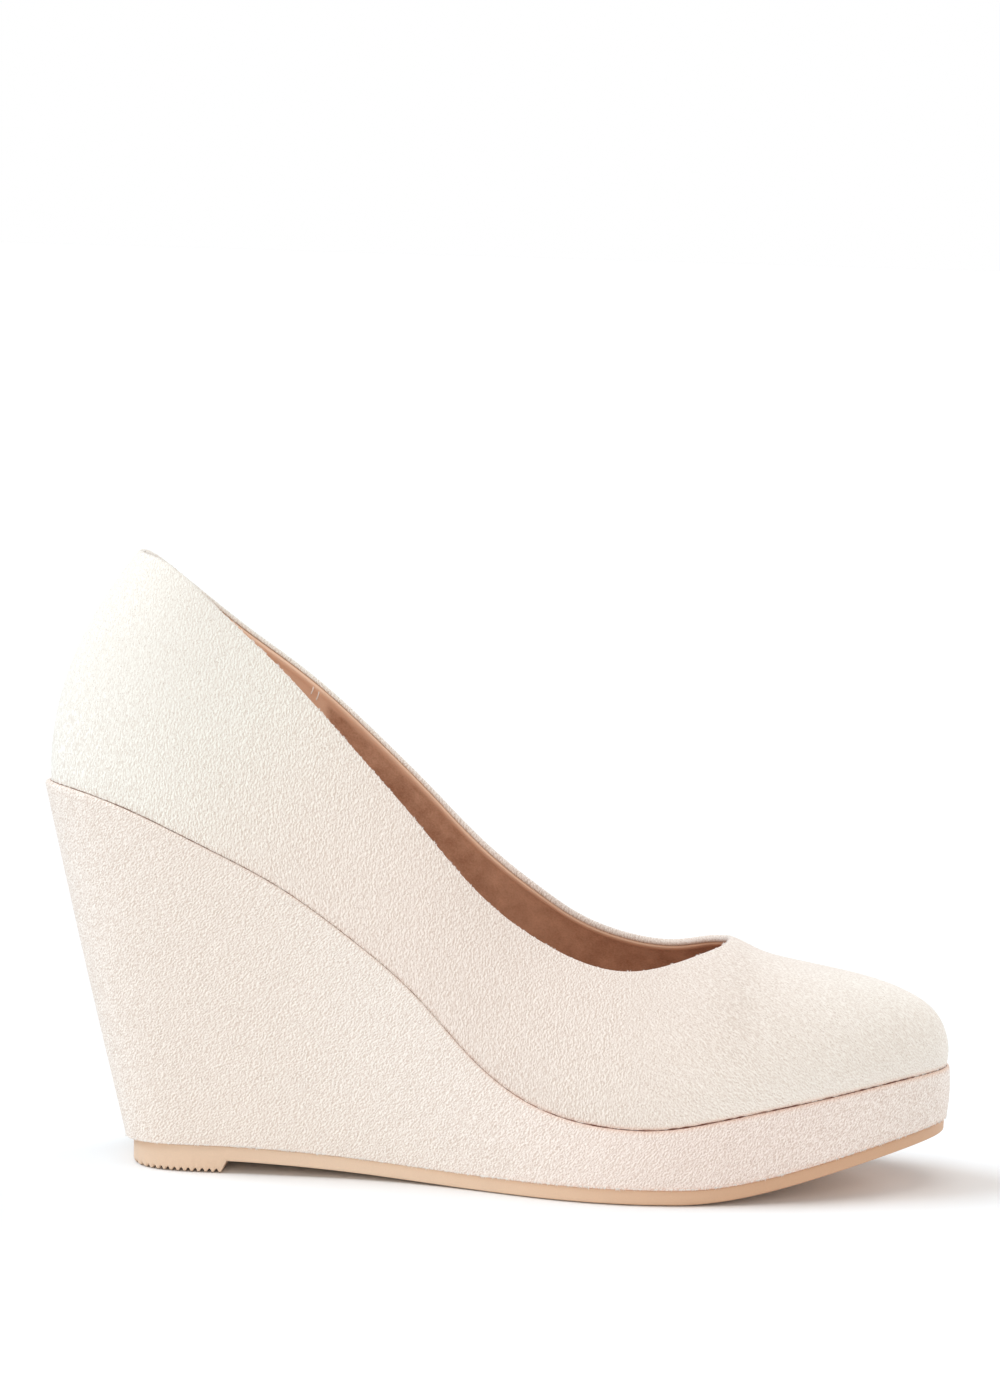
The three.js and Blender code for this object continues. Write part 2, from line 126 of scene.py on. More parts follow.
TOPLINE = np.array(
    [  # station, reach, outer, inner
        [0.00, 0.000, 0.672, 0.672],
        [0.03, 0.030, 0.660, 0.640],
        [0.08, 0.080, 0.649, 0.597],
        [0.15, 0.150, 0.634, 0.568],
        [0.25, 0.250, 0.610, 0.568],
        [0.35, 0.350, 0.595, 0.602],
        [0.45, 0.450, 0.626, 0.680],
        [0.52, 0.520, 0.706, 0.801],
        [0.60, 0.578, 0.747, 0.821],
        [0.68, 0.640, 0.771, 0.816],
        [0.76, 0.692, 0.846, 0.848],
        [0.84, 0.727, 0.921, 0.914],
        [0.91, 0.748, 0.969, 0.957],
        [0.96, 0.757, 0.992, 0.984],
        [1.00, 0.760, 1.000, 1.000],
    ]
)
FOOT = np.array(
    [  # station of the wedge's foot, half width, shift
        [0.000, 0.000, 0.000],
        [0.004, 0.160, 0.000],
        [0.010, 0.225, 0.000],
        [0.020, 0.272, 0.000],
        [0.040, 0.312, 0.000],
        [0.070, 0.332, 0.000],
        [0.120, 0.331, -0.002],
        [0.200, 0.325, -0.006],
        [0.300, 0.325, -0.012],
        [0.420, 0.392, -0.016],
        [0.520, 0.485, -0.014],
        [0.610, 0.530, -0.006],
        [0.700, 0.519, 0.014],
        [0.800, 0.447, 0.045],
        [0.890, 0.345, 0.064],
        [0.950, 0.238, 0.074],
        [0.985, 0.130, 0.080],
        [1.000, 0.000, 0.080],
    ]
)


# %% Splines through the tables
def angle_of(station):
    """The angle whose cosine is one minus twice the station, so that equal steps of it crowd
    the sections towards heel and toe."""
    return np.arccos(1 - 2 * np.clip(station, 0, 1))


def along(table, column, start, end):
    """A cubic spline through one column, over the angle of its stations. Between two rows it is
    the straight line plus the two bends, each times the cube of the distance from the far row
    less that distance. The bends solve the equations that make slopes agree at every row. A
    level end has slope zero and a free end has no bend."""
    at, value = angle_of(table[:, 0]), table[:, column]
    span, last_row = np.diff(at), len(at) - 1
    system, right = np.zeros((len(at), len(at))), np.zeros(len(at))
    inner = np.arange(1, last_row)
    system[inner, inner - 1], system[inner, inner + 1] = span[:-1], span[1:]
    system[inner, inner] = 2 * (span[:-1] + span[1:])
    right[inner] = 6 * np.diff(np.diff(value) / span)
    system[0, 0] = system[-1, -1] = 1
    if start == "level":
        system[0, :2], right[0] = (2 * span[0], span[0]), 6 * (value[1] - value[0]) / span[0]
    if end == "level":
        system[-1, -2:] = span[-1], 2 * span[-1]
        right[-1] = -6 * (value[-1] - value[-2]) / span[-1]
    bend = np.linalg.solve(system, right)

    def curve(station):
        angle = angle_of(station)
        i = np.clip(np.searchsorted(at, angle, side="right") - 1, 0, last_row - 1)
        before, after, width = angle - at[i], at[i + 1] - angle, span[i]
        curved = (bend[i] * after**3 + bend[i + 1] * before**3) / (6 * width)
        from_left = (value[i] / width - bend[i] * width / 6) * after
        from_right = (value[i + 1] / width - bend[i + 1] * width / 6) * before
        return curved + from_left + from_right

    return curve


half_width = along(LAST, 1, "free", "free")
shift = along(LAST, 2, "level", "level")
ridge = along(LAST, 3, "level", "free")
fullness = along(LAST, 4, "level", "level")
seat_heel = along(SEAT, 1, "level", "level")
seat_spring = along(SEAT, 2, "level", "free")
top_reach = along(TOPLINE, 1, "level", "level")
top_outer = along(TOPLINE, 2, "level", "level")
top_inner = along(TOPLINE, 3, "level", "level")
foot_half = along(FOOT, 1, "free", "free")
foot_shift = along(FOOT, 2, "level", "level")
print("width across the ball:", round(2 * BALL_WIDTH * float(half_width(0.73)), 1), "mm")


# %% Heights and outlines
def seat_height(x):
    """Height of the feather line at x: platform, plus the heel's share and the toe's share."""
    station = x / LENGTH
    heel = (SEAT_HEIGHT - PLATFORM_HEIGHT) * seat_heel(station)
    return PLATFORM_HEIGHT + heel + TOE_SPRING * seat_spring(station)


def around(count):
    """Stations and sides once around the shoe: heel, outer side, toe, inner side."""
    k = np.arange(2 * count)
    return (1 - np.cos(np.pi * k / count)) / 2, np.where(k <= count, OUTER, INNER)


def feather(station, side):
    """The outline of the last's bottom in plan: its middle line plus or less half its width."""
    y = BALL_WIDTH * (shift(station) + side * half_width(station))
    return np.stack([LENGTH * station, y], -1)


def foot(station, side):
    """The outline of the wedge where it stands on the outsole, in plan."""
    y = BALL_WIDTH * (foot_shift(station) + side * foot_half(station))
    return np.stack([WEDGE_SET_IN + FOOT_LENGTH * station, y], -1)


def unit(ways):
    """Directions brought to a length of one."""
    return ways / np.linalg.norm(ways, axis=-1, keepdims=True)


def ring_run(ring):
    """Directions from neighbour to neighbour along a closed ring."""
    return unit(np.roll(ring, -1, 0) - np.roll(ring, 1, 0))


def measure_of(line):
    """The length run from the first point of a line to each of its points."""
    return np.concatenate([[0], np.cumsum(np.linalg.norm(np.diff(line, axis=0), axis=1))])


def outward_of(loop):
    """Directions square to the loop in plan: its run, turned to the right."""
    run = ring_run(loop)
    return np.stack([run[:, 1], -run[:, 0]], -1)


def grown(loop, distance):
    """The loop moved outwards by a distance."""
    return loop + outward_of(loop) * distance


def raised(loop, height):
    """A plan loop lifted to a height, one number or one for each point."""
    return np.column_stack([loop, np.broadcast_to(height, len(loop))])


# %% [markdown]
# ## From grids to pieces
#
# Every piece below is a stack of rings, each with the same number of points. The rings could be
# bridged by hand in edit mode. Here one function joins neighbouring rings with four-sided faces
# and closes the ends, either by joining the last ring to the first, which makes a hoop, or by
# rungs across the shoe. The shapes are worked out in the millimetres of the last and then placed
# in the metres of the frame.

# %% A body from rings
def body_faces(ring_count, count, capped):
    """Faces between ring and ring, and for capped bodies the rungs between point k and the point
    as far on the other side of heel and toe."""
    ring = np.arange(ring_count - 1 if capped else ring_count)[:, None] * count
    above = (ring + count) % (ring_count * count)
    k = np.arange(count)[None]
    after = (k + 1) % count
    faces = [np.stack([ring + k, ring + after, above + after, above + k], -1).reshape(-1, 4)]
    if capped:
        top = (ring_count - 1) * count
        k = np.arange(count // 2)
        across, next_across = (count - k) % count, count - k - 1
        faces.append(np.stack([top + k, top + k + 1, top + next_across, top + across], -1))
        faces.append(np.stack([across, next_across, k + 1, k], -1))
    return np.concatenate(faces).tolist()


def tidy_face(face):
    """A face without the points that it names twice, as at the two ends of the rungs."""
    return list(dict.fromkeys(face))


last_to_row = np.zeros(3)


def piece(name, points, faces, material, replaces=()):
    """A smooth-shaded object from points in the last's millimetres, riding on the one body."""
    mesh = bpy.data.meshes.new(name)
    placed = (np.asarray(points, float).reshape(-1, 3) + last_to_row) / 1000
    mesh.from_pydata(placed.tolist(), [], [tidy_face(f) for f in faces])
    mesh.validate()
    mesh.shade_smooth()
    mesh.materials.append(material)
    made = bpy.data.objects.new(name, mesh)
    bpy.context.scene.collection.objects.link(made)
    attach(made, "root")
    if replaces:
        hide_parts(*replaces)
    mesh.calc_loop_triangles()
    print(name, len(mesh.vertices), "points", len(mesh.loop_triangles), "triangles")
    return made


def ring_body(name, rings, capped, material, replaces=()):
    """A closed piece from a stack of rings, each an array of points."""
    rings = np.stack(rings)
    faces = body_faces(rings.shape[0], rings.shape[1], capped)
    return piece(name, rings.reshape(-1, 3), faces, material, replaces)


# %% Point values that a material can read
PINK_WIDTH = 0.75
PINK_START, PINK_BLEND, PINK_BEHIND = 100.0, 60.0, 0.12


def paint(made, name, values):
    """Keeps one number for each point of the mesh, for an Attribute node."""
    attribute = made.data.attributes.new(name, "FLOAT", "POINT")
    attribute.data.foreach_set("value", np.asarray(values, np.float32).ravel())


def pink_tint(x, distance, strength):
    """How pink the nap is tinted: a bell curve of the distance from the seam, weaker towards the heel."""
    forward = np.clip((x - PINK_START) / PINK_BLEND, PINK_BEHIND, 1)
    return strength * forward * np.exp(-((distance / PINK_WIDTH) ** 2))


# %% [markdown]
# ## Materials
#
# A material here is one Principled shader with a few nodes in front of it. A few small helpers are
# enough: one turns the hex colours that one reads off a sample card into the linear numbers that
# the renderer works with, one adds a node with its settings and links, and the others add what
# comes again and again: a noise, a blend of two colours, a value stored on the points, and a
# colour that changes along the shoe.

# %% Colour and node helpers
def linear(hex_colour):
    """An sRGB hex colour in linear light: small values divided, others raised to 2.4."""
    code = hex_colour.lstrip("#")
    channel = np.array([int(code[i : i + 2], 16) for i in (0, 2, 4)]) / 255
    low, high = channel / 12.92, ((channel + 0.055) / 1.055) ** 2.4
    return (*np.where(channel <= 0.04045, low, high).tolist(), 1.0)


def add(tree, kind, settings=None, **inputs):
    """Adds a node. settings are its own properties. Each input is a value or another node's
    output, under the socket's name in small letters with _ for a space, or its number as i0."""
    node = tree.nodes.new("ShaderNode" + kind)
    for key, value in (settings or {}).items():
        setattr(node, key, value)
    for key, value in inputs.items():
        if key[0] == "i" and key[1:].isdigit():
            socket = node.inputs[int(key[1:])]
        else:
            wanted = key.replace("_", " ").lower()
            socket = next(s for s in node.inputs if s.name.lower() == wanted and s.enabled)
        if isinstance(value, bpy.types.NodeSocket):
            tree.links.new(value, socket)
        else:
            socket.default_value = value
    return node


def blended(tree, share, first, second, way="MIX"):
    """Two colours blended by a share. A colour is a hex code or another node's output."""
    first, second = (linear(c) if isinstance(c, str) else c for c in (first, second))
    settings = {"data_type": "RGBA", "blend_type": way}
    return add(tree, "Mix", settings, i0=share, i6=first, i7=second).outputs[2]


def stored(tree, name):
    """The value that the points carry under a name."""
    return add(tree, "Attribute", {"attribute_name": name}).outputs["Fac"]


def noise(tree, place, size, detail, roughness=0.5):
    """A noise whose grains have about the given size."""
    return add(tree, "TexNoise", scale=1 / size, detail=detail, roughness=roughness, vector=place)


def material(name, **constants):
    """A new material with a Principled shader whose constants are set by their socket names,
    with its nodes and the place on the shoe, from which all patterns start."""
    made = bpy.data.materials.new(name)
    made.use_nodes = True
    tree = made.node_tree
    for key, value in constants.items():
        tree.nodes["Principled BSDF"].inputs[key].default_value = value
    return made, tree, add(tree, "TexCoord").outputs["Object"]


def dressed(tree, colour, height=None, strength=0.0, depth=0.0):
    """Links a colour to the shader, and bumps from a height where one is given."""
    shader = tree.nodes["Principled BSDF"]
    tree.links.new(colour, shader.inputs["Base Color"])
    if height is not None:
        bump = add(tree, "Bump", strength=strength, distance=depth, height=height)
        tree.links.new(bump.outputs[0], shader.inputs["Normal"])


def painted_light_along(made, tones, lean=0.0):
    """Multiplies a material's colour by painted light and shade: tones that change along the shoe,
    each at its place in metres. With a lean of one, a point takes the tone of a place as much
    further back as it is high, so that the tones run slanting."""
    tree, places = made.node_tree, list(tones)
    socket = tree.nodes["Principled BSDF"].inputs["Base Color"]
    plain = socket.links[0].from_socket
    place = add(tree, "TexCoord").outputs["Object"]
    dot = {"operation": "DOT_PRODUCT"}
    measure = add(tree, "VectorMath", dot, i0=place, i1=(1.0, 0.0, -lean)).outputs["Value"]
    share = add(tree, "MapRange", i0=measure, i1=places[0], i2=places[-1], i3=0.0, i4=1.0)
    ramp = add(tree, "ValToRGB", i0=share.outputs["Result"])
    ramp.color_ramp.interpolation = "B_SPLINE"
    stops = ramp.color_ramp.elements
    for _ in places[2:]:
        stops.new(0.5)
    for stop, at in zip(stops, places):
        stop.position = (at - places[0]) / (places[-1] - places[0])
        stop.color = linear(tones[at])
    tree.links.new(blended(tree, 1.0, plain, ramp.outputs["Color"], "MULTIPLY"), socket)


# %% [markdown]
# ## Imitation suede
#
# The real cover is a knitted backing with a polyurethane layer, buffed until it has a short nap.
# The nap lies in small worm-like tufts, about a quarter of a millimetre wide and twice to three
# times as long, most of them along the stretch of the cloth. Real hairs in such number would be
# far too many faces, so the tufts are noise that is stretched along their run and bent a little
# by a slower noise. A tuft lies over to one side, so light falls on one flank and the other is in
# shade. Both are painted into the colour, a painted highlight and a painted shade: the noise less
# the same noise a little way off gives both. On the heel and the toe, where the light falls most
# squarely, this painted light and shade is weaker. A few grains stay dark: pits where the nap has
# opened. Near the seam and the sole the nap is tinted a little pink. The colour is also multiplied
# by painted light and shade that follows the length and slants with height: near white at the
# heel and higher up, a little darker and warmer about the middle and low down. Suede is rough and
# has next to no gloss, and its rim catches a breath of sheen.

# %% Suede
TUFT_WIDTH = 0.42e-3
# The lee shifts set which flank of a tuft gets the painted highlight and which the painted shade.
SIDE_LEE = (0.3e-3, 0.0, -0.1e-3)
FRONT_LEAN, FRONT_LEE = -50.0, (0.2e-3, 0.0, 0.24e-3)
TUFT_SLOPE, TUFT_BEND = 0.2, 0.7e-3
BEND_SIZE = 1.2e-3
WEAK_SHADE_FLANK = 0.55
PIT_SIZE, PIT_FROM, PIT_TO, PIT_SHARE = 0.3e-3, 0.66, 0.78, 0.5
SEAM_PINK = "#E6BA9E"
NAP_STRENGTH, NAP_DEPTH = 0.5, 0.1e-3


def tuft_noise(tree, place, lean, length):
    """Noise in small worms along z, leaned by an angle about the y axis."""
    stretched = add(
        tree,
        "Mapping",
        {"vector_type": "TEXTURE"},
        vector=place,
        rotation=(0.0, math.radians(lean), 0.0),
        scale=(TUFT_WIDTH, TUFT_WIDTH, length),
    )
    return noise(tree, stretched.outputs[0], 1.0, 1.0).outputs["Fac"]


def tuft_slope(tree, place, lean, length, lee):
    """How much the tufts fall from a place to its lee side: noise here less noise there, which the
    suede turns into painted light and shade.
    """
    beyond = add(tree, "VectorMath", {"operation": "ADD"}, i0=place, i1=lee).outputs[0]
    here, there = (tuft_noise(tree, at, lean, length) for at in (place, beyond))
    return add(tree, "Math", {"operation": "SUBTRACT"}, i0=here, i1=there).outputs[0], here


def suede(name, lean, length, lit_flank_colour, shaded_flank_colour, pit_colour):
    """Tufts leaned as the cover was stretched there, another way where the points say front. Each
    tuft gets a painted highlight on one flank and a painted shade on the other, weaker where the
    points say so. Where the points say blush, the nap is tinted a little pink."""
    made, tree, place = material(
        name,
        **{
            "Roughness": 0.95,
            "Specular IOR Level": 0.2,
            "Sheen Weight": 0.06,
            "Sheen Roughness": 0.45,
            "Sheen Tint": linear("#FFF6EC"),
        },
    )
    bend = noise(tree, place, BEND_SIZE, 1.0).outputs["Color"]
    push = {"operation": "MULTIPLY_ADD"}
    bent = add(tree, "VectorMath", push, i0=bend, i1=[TUFT_BEND] * 3, i2=place).outputs[0]
    side_slope, tufts = tuft_slope(tree, bent, lean, length, SIDE_LEE)
    front_slope, _ = tuft_slope(tree, bent, FRONT_LEAN, length, FRONT_LEE)
    number = {"data_type": "FLOAT"}
    slope = add(tree, "Mix", number, i0=stored(tree, "front"), i2=side_slope, i3=front_slope)
    light_side = add(
        tree, "MapRange", i0=slope.outputs[0], i1=-TUFT_SLOPE, i2=TUFT_SLOPE, i3=0.0, i4=1.0
    ).outputs["Result"]
    weak_tuft_shade = stored(tree, "weak_tuft_shade")
    # Weaker painted light and shade on the flanks where the points say so.
    flank = add(tree, "Mix", number, i0=weak_tuft_shade, i2=light_side, i3=WEAK_SHADE_FLANK).outputs[0]
    speckle = noise(tree, place, PIT_SIZE, 0.0).outputs["Fac"]
    smooth = {"interpolation_type": "SMOOTHSTEP"}
    pits = add(tree, "MapRange", smooth, i0=speckle, i1=PIT_FROM, i2=PIT_TO, i3=0.0, i4=PIT_SHARE)
    # Painted light and shade: the lit flank of a tuft takes the light colour, the shaded flank the
    # dark one.
    nap = blended(tree, flank, shaded_flank_colour, lit_flank_colour)
    pitted = blended(tree, pits.outputs["Result"], nap, pit_colour)
    tinted = blended(tree, stored(tree, "blush"), pitted, SEAM_PINK)
    dressed(tree, tinted, tufts, NAP_STRENGTH, NAP_DEPTH)
    return made


# Painted light and shade along the upper, slanting with height: near white at the heel and higher up,
# a little darker and warmer about the middle and low down.
UPPER_LIGHT_TONES = {
    -0.218: "#FFFFFF",
    -0.185: "#FFFFFE",
    -0.160: "#FEFAF8",
    -0.135: "#FDF6F4",
    -0.088: "#FCF3F1",
    -0.023: "#F6EDEB",
    0.020: "#FCF5F3",
    0.055: "#FFFCFB",
}
# Painted light and shade along the wedge cover, a faint change from heel to toe.
WEDGE_LIGHT_TONES = {
    -0.109: "#FBF9F8",
    -0.065: "#FFFCFA",
    -0.020: "#FFFFFF",
    0.032: "#FCF6F5",
    0.080: "#FFF8F8",
    0.115: "#FFFCFB",
}
upper_suede = suede("upper_suede", 4.0, 0.95e-3, "#FFFEF7", "#DCD1C5", "#B9A596")
wedge_suede = suede("wedge_suede", 38.0, 0.7e-3, "#FFFAF3", "#DCCDC1", "#B9A596")
painted_light_along(upper_suede, UPPER_LIGHT_TONES, lean=1.0)
painted_light_along(wedge_suede, WEDGE_LIGHT_TONES)

# %% [markdown]
# ## Imitation leather for lining and sock
#
# The lining is a thin coated fabric, tan brown, printed with a fine pigskin grain and wiped a
# little darker in the pores. Its grain is half a millimetre, which a noise and a second finer one
# give well enough. The heel grip is a separate patch of softer stuff, paler in its own colour.
# The rolled edge of the lining gets a painted highlight, and the middle of the lining a painted
# pool of light. All three are painted on the points and read by the material.

# %% Lining
GRAIN, CLOUD = 0.5e-3, 4.5e-3
CLOUD_SHARE, GRAIN_SHARE = 0.6, 0.5


def imitation_leather(name, light_colour, dark_colour, pale_colour):
    """A wiped grain: two noises between two browns, and a paler brown where the points say so, for the
    heel grip's own colour and for painted light.
    """
    made, tree, place = material(
        name, **{"Roughness": 0.62, "Specular IOR Level": 0.35, "Sheen Weight": 0.15}
    )
    grain = noise(tree, place, GRAIN, 3.0, 0.6).outputs["Fac"]
    cloud = noise(tree, place, CLOUD, 2.0).outputs["Fac"]
    fine = add(tree, "Math", {"operation": "MULTIPLY"}, i0=grain, i1=GRAIN_SHARE)
    both = {"operation": "MULTIPLY_ADD"}
    mottle = add(tree, "Math", both, i0=cloud, i1=CLOUD_SHARE, i2=fine.outputs[0]).outputs[0]
    spread = add(tree, "MapRange", i0=mottle, i1=0.35, i2=0.75, i3=0.0, i4=1.0)
    brown = blended(tree, spread.outputs["Result"], dark_colour, light_colour)
    grip_and_painted_light = blended(tree, stored(tree, "grip_and_painted_light"), brown, pale_colour)
    dressed(tree, grip_and_painted_light, grain, 0.35, 0.1e-3)
    return made


lining_leather = imitation_leather("brown_lining", "#D8AE92", "#A87B60", "#F4D0B4")
sock_leather = imitation_leather("brown_sock", "#D8A481", "#B87F5C", "#E6C4A6")

# %% [markdown]
# ## Rubber, thread and cement
#
# The outsole is moulded thermoplastic rubber, tan, matt from a sandblasted mould. The material's
# base colour is near white and the tones along the shoe bring the tan, with painted light and
# shade in them: palest at the arch and a deeper tan towards the toe. The threads are spun
# polyester. The line between upper and wedge is the edge of the cover with cement in it, dark
# brown in front and a greyer brown towards the heel.

# %% Rubber, thread and the line of the seam
def moulded(name, colour, shade, size, roughness, strength):
    """Two close colours mixed by one noise of the given size, which is the bump as well."""
    made, tree, place = material(name, **{"Roughness": roughness, "Specular IOR Level": 0.4})
    speck = noise(tree, place, size, 3.0, 0.6).outputs["Fac"]
    dressed(tree, blended(tree, speck, shade, colour), speck, strength, 0.05e-3)
    return made


# Painted light and shade along the outsole: palest at the arch, a deeper tan towards the toe.
RUBBER_LIGHT_TONES = {-0.066: "#E9CAAE", -0.035: "#F4D9BF", 0.02: "#EFCEB0", 0.075: "#D6AA88"}
tan_rubber = moulded("tan_rubber", "#FFFFFF", "#F1F1F1", 0.35e-3, 0.6, 0.3)
cream_thread = moulded("cream_thread", "#E3CDB9", "#C9AD97", 0.15e-3, 0.8, 0.6)
cream_fibre = moulded("cream_fibre", "#FFFCF8", "#FBF3EA", 0.3e-3, 0.9, 0.2)
painted_light_along(tan_rubber, RUBBER_LIGHT_TONES)


def cement_line():
    """Cement between a dull pink and brown, by the share of brown that the points carry."""
    made, tree, _ = material("cement_line", Roughness=0.8)
    dressed(tree, blended(tree, stored(tree, "brown"), "#B79383", "#6A3826"))
    return made


brown_cement = cement_line()
print("materials:", [m.name for m in bpy.data.materials])

# %% [markdown]
# ## The covered wedge
#
# The wedge and its platform are one light core with the cover stretched over it. Its side runs in
# straight lines from the outline of its foot up to the lip under the upper, with a slight swell,
# and both edges are rounded by the cloth. A loft is the natural way to make it: rings from foot
# to lip. The two roundings are quarter circles.

# %% Heights of the sole line
ARCH_START, ARCH_END = 0.12, 0.46
SPRING_START, SPRING_SWING = 0.68, 0.8
ARCH_RISE, BACK_DROP = 3.0, 0.1
SOLE_THICKNESS, TOE_THINNING = 3.9, 0.14


def under_height(station):
    """Height of the outsole's underside: a parabola up to the arch, half a cosine down to the
    ball, flat under the ball, and part of a cosine's swing up to the toe."""
    back = ARCH_RISE * (1 - BACK_DROP * np.clip(1 - station / ARCH_START, 0, None) ** 2)
    fall = np.clip((station - ARCH_START) / (ARCH_END - ARCH_START), 0, 1)
    arch = ARCH_RISE * (1 + np.cos(np.pi * fall)) / 2
    forward = np.clip((station - SPRING_START) / (1 - SPRING_START), 0, None)
    swing = math.pi * SPRING_SWING
    spring = TOE_SPRING * (1 - np.cos(swing * forward)) / (1 - math.cos(swing))
    return np.where(station < ARCH_START, back, arch) + spring


def sole_height(x):
    """Height of the joint between wedge and outsole: the underside plus the sole's thickness."""
    station = np.clip((x - WEDGE_SET_IN) / FOOT_LENGTH, 0, 1)
    forward = np.clip((station - SPRING_START) / (1 - SPRING_START), 0, None)
    return under_height(station) + SOLE_THICKNESS * (1 - TOE_THINNING * forward)


# %% The wedge
WEDGE_LIP, LIP_ROUND, FOOT_ROUND, WALL_SWELL = 1.0, 0.9, 0.6, 0.4
ROUND_STEPS, WALL_RINGS, COLUMNS = 6, 40, 200
WEDGE_BLUSH = 0.4

stations, sides = around(COLUMNS)
feather_loop, foot_loop = feather(stations, sides), foot(stations, sides)
outward = outward_of(feather_loop)


def wedge_rings():
    """Quarter circle under the foot, straight lines from foot to lip with a sine's swell, and a
    quarter circle over the lip."""
    rings = []
    for turn in np.linspace(0, math.pi / 2, ROUND_STEPS):
        loop = grown(foot_loop, -FOOT_ROUND * (1 - math.sin(turn)))
        rings.append(raised(loop, sole_height(loop[:, 0]) + FOOT_ROUND * (1 - math.cos(turn))))
    low = rings[-1]
    lip = grown(feather_loop, WEDGE_LIP)
    high = raised(lip, seat_height(lip[:, 0]) - LIP_ROUND)
    for share in np.linspace(0, 1, WALL_RINGS)[1:]:
        ruled = low + (high - low) * share
        ruled[:, :2] += outward * WALL_SWELL * math.sin(math.pi * share)
        rings.append(ruled)
    for turn in np.linspace(0, math.pi / 2, ROUND_STEPS)[1:]:
        loop = grown(feather_loop, WEDGE_LIP - LIP_ROUND * (1 - math.cos(turn)))
        rings.append(raised(loop, seat_height(loop[:, 0]) - LIP_ROUND * (1 - math.sin(turn))))
    return rings


rings = wedge_rings()
spread = np.concatenate(rings)
own_middle = (spread.min(0) + spread.max(0))[:2] / 2
wedge_low, wedge_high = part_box("wedge")
cad_middle = np.array([(wedge_low[i] + wedge_high[i]) / 2 for i in (0, 1)]) * 1000
last_to_row[:2] = cad_middle - own_middle
print("the last's own frame moves by", last_to_row.round(3), "mm to stand in the row frame")
wedge_foot = rings[ROUND_STEPS - 1]
outward_3d = np.column_stack([outward, np.zeros(len(outward))])
wedge_cover = ring_body("wedge_cover", rings, True, wedge_suede, ["wedge"])
paint(wedge_cover, "front", np.zeros(len(wedge_cover.data.vertices)))
place_x, place_z = np.stack(rings)[..., 0], np.stack(rings)[..., 2]
below_seam = seat_height(np.clip(place_x, 0, LENGTH)) - place_z
above_sole = place_z - sole_height(place_x)
paint(wedge_cover, "blush", pink_tint(place_x, np.minimum(below_seam, above_sole), WEDGE_BLUSH))

# %% [markdown]
# ## The surface of the upper
#
# The upper is leather-thin, so its outside is the last itself. Behind the ball each column of
# points climbs straight up the section. In front of it the columns fan out to the throat, as the
# cloth is pulled there. A column is first worked out in many small steps and then walked along by
# length, which gives even faces and lets anything be placed at so many millimetres below the
# topline. The normal is the cross product of the two directions of the grid.

# %% Columns of the upper
EDGE_CROWN, EDGE_SPACE = 0.85, 0.6
STEPS, FACE_LEVELS, LEVEL_BIAS = 160, 78, 1.15
EDGE_DEPTHS = np.array([3.4, 2.8, 2.3, 1.9, 1.6, 1.35, 1.1, 0.9, 0.75, 0.5, 0.35, 0.15, 0.0])


def back_share(x):
    """How much a place belongs to the back: 1 at the very back, fading out as a parabola."""
    return np.clip(1 - x / (BACK_REACH * LENGTH), 0, None) ** 2


def back_curve(rise, x):
    """How far the back leans at a rise: it stands a little inside the wedge's lip, swells back
    and then leans forward, a parabola that fades out along the length."""
    share = rise / BACK_HEIGHT
    return (HEEL_SET_IN + BACK_HEIGHT * (BACK_LEAN * share**2 - BACK_BULGE * share)) * back_share(x)


def section(x, level, side):
    """Point of the last at a level: half a superellipse on the feather line."""
    station, power = x / LENGTH, fullness(x / LENGTH)
    rise = INSTEP_HEIGHT * ridge(station) * level
    narrow = np.clip(1 - level**power, 0, 1) ** (1 / power)
    y = BALL_WIDTH * (shift(station) + side * half_width(station) * narrow)
    return np.stack([x + back_curve(rise, x), y, seat_height(x) + rise], -1)


def level_over(x, y):
    """The level of the last's surface over a place in plan, from the same superellipse."""
    station, power = x / LENGTH, fullness(x / LENGTH)
    half = np.maximum(BALL_WIDTH * half_width(station), 1e-6)
    share = np.clip(np.abs(y - BALL_WIDTH * shift(station)) / half, 0, 1)
    return np.clip(1 - share**power, 0, 1) ** (1 / power)


def trails():
    """All columns in small steps: an array of columns by steps by x, y, z."""
    share = np.linspace(0, 1, STEPS + 1)[None]
    station, side = stations[:, None], sides[:, None]
    reach = LENGTH * top_reach(station)
    edge = np.minimum(np.where(side == OUTER, top_outer(station), top_inner(station)), 1)
    crown = EDGE_CROWN * np.sqrt(1 - edge**2)
    top = edge - crown / (INSTEP_HEIGHT * ridge(reach / LENGTH))
    end = section(reach, top, side)
    start = feather_loop[:, None]
    upright = section(np.broadcast_to(start[..., 0], (len(station), STEPS + 1)), top * share, side)
    x = start[..., 0] + (end[..., 0] - start[..., 0]) * share**2
    y = start[..., 1] + (end[..., 1] - start[..., 1]) * share**2
    level = np.where(share == 0, 0, level_over(x, y))
    fanned = np.stack([x, y, seat_height(x) + INSTEP_HEIGHT * ridge(x / LENGTH) * level], -1)
    stands = station <= FAN_START
    points = np.where(stands[..., None], upright, fanned)
    ground = np.where(stands, seat_height(start[..., 0]), seat_height(x))
    rise = (points[..., 2] - ground) / FEATHER_ROLL_HEIGHT
    roll = FEATHER_ROLL * rise * np.exp(1 - rise) * (1 - back_share(start[..., 0]))
    points[..., :2] += roll[..., None] * outward[:, None]
    return points


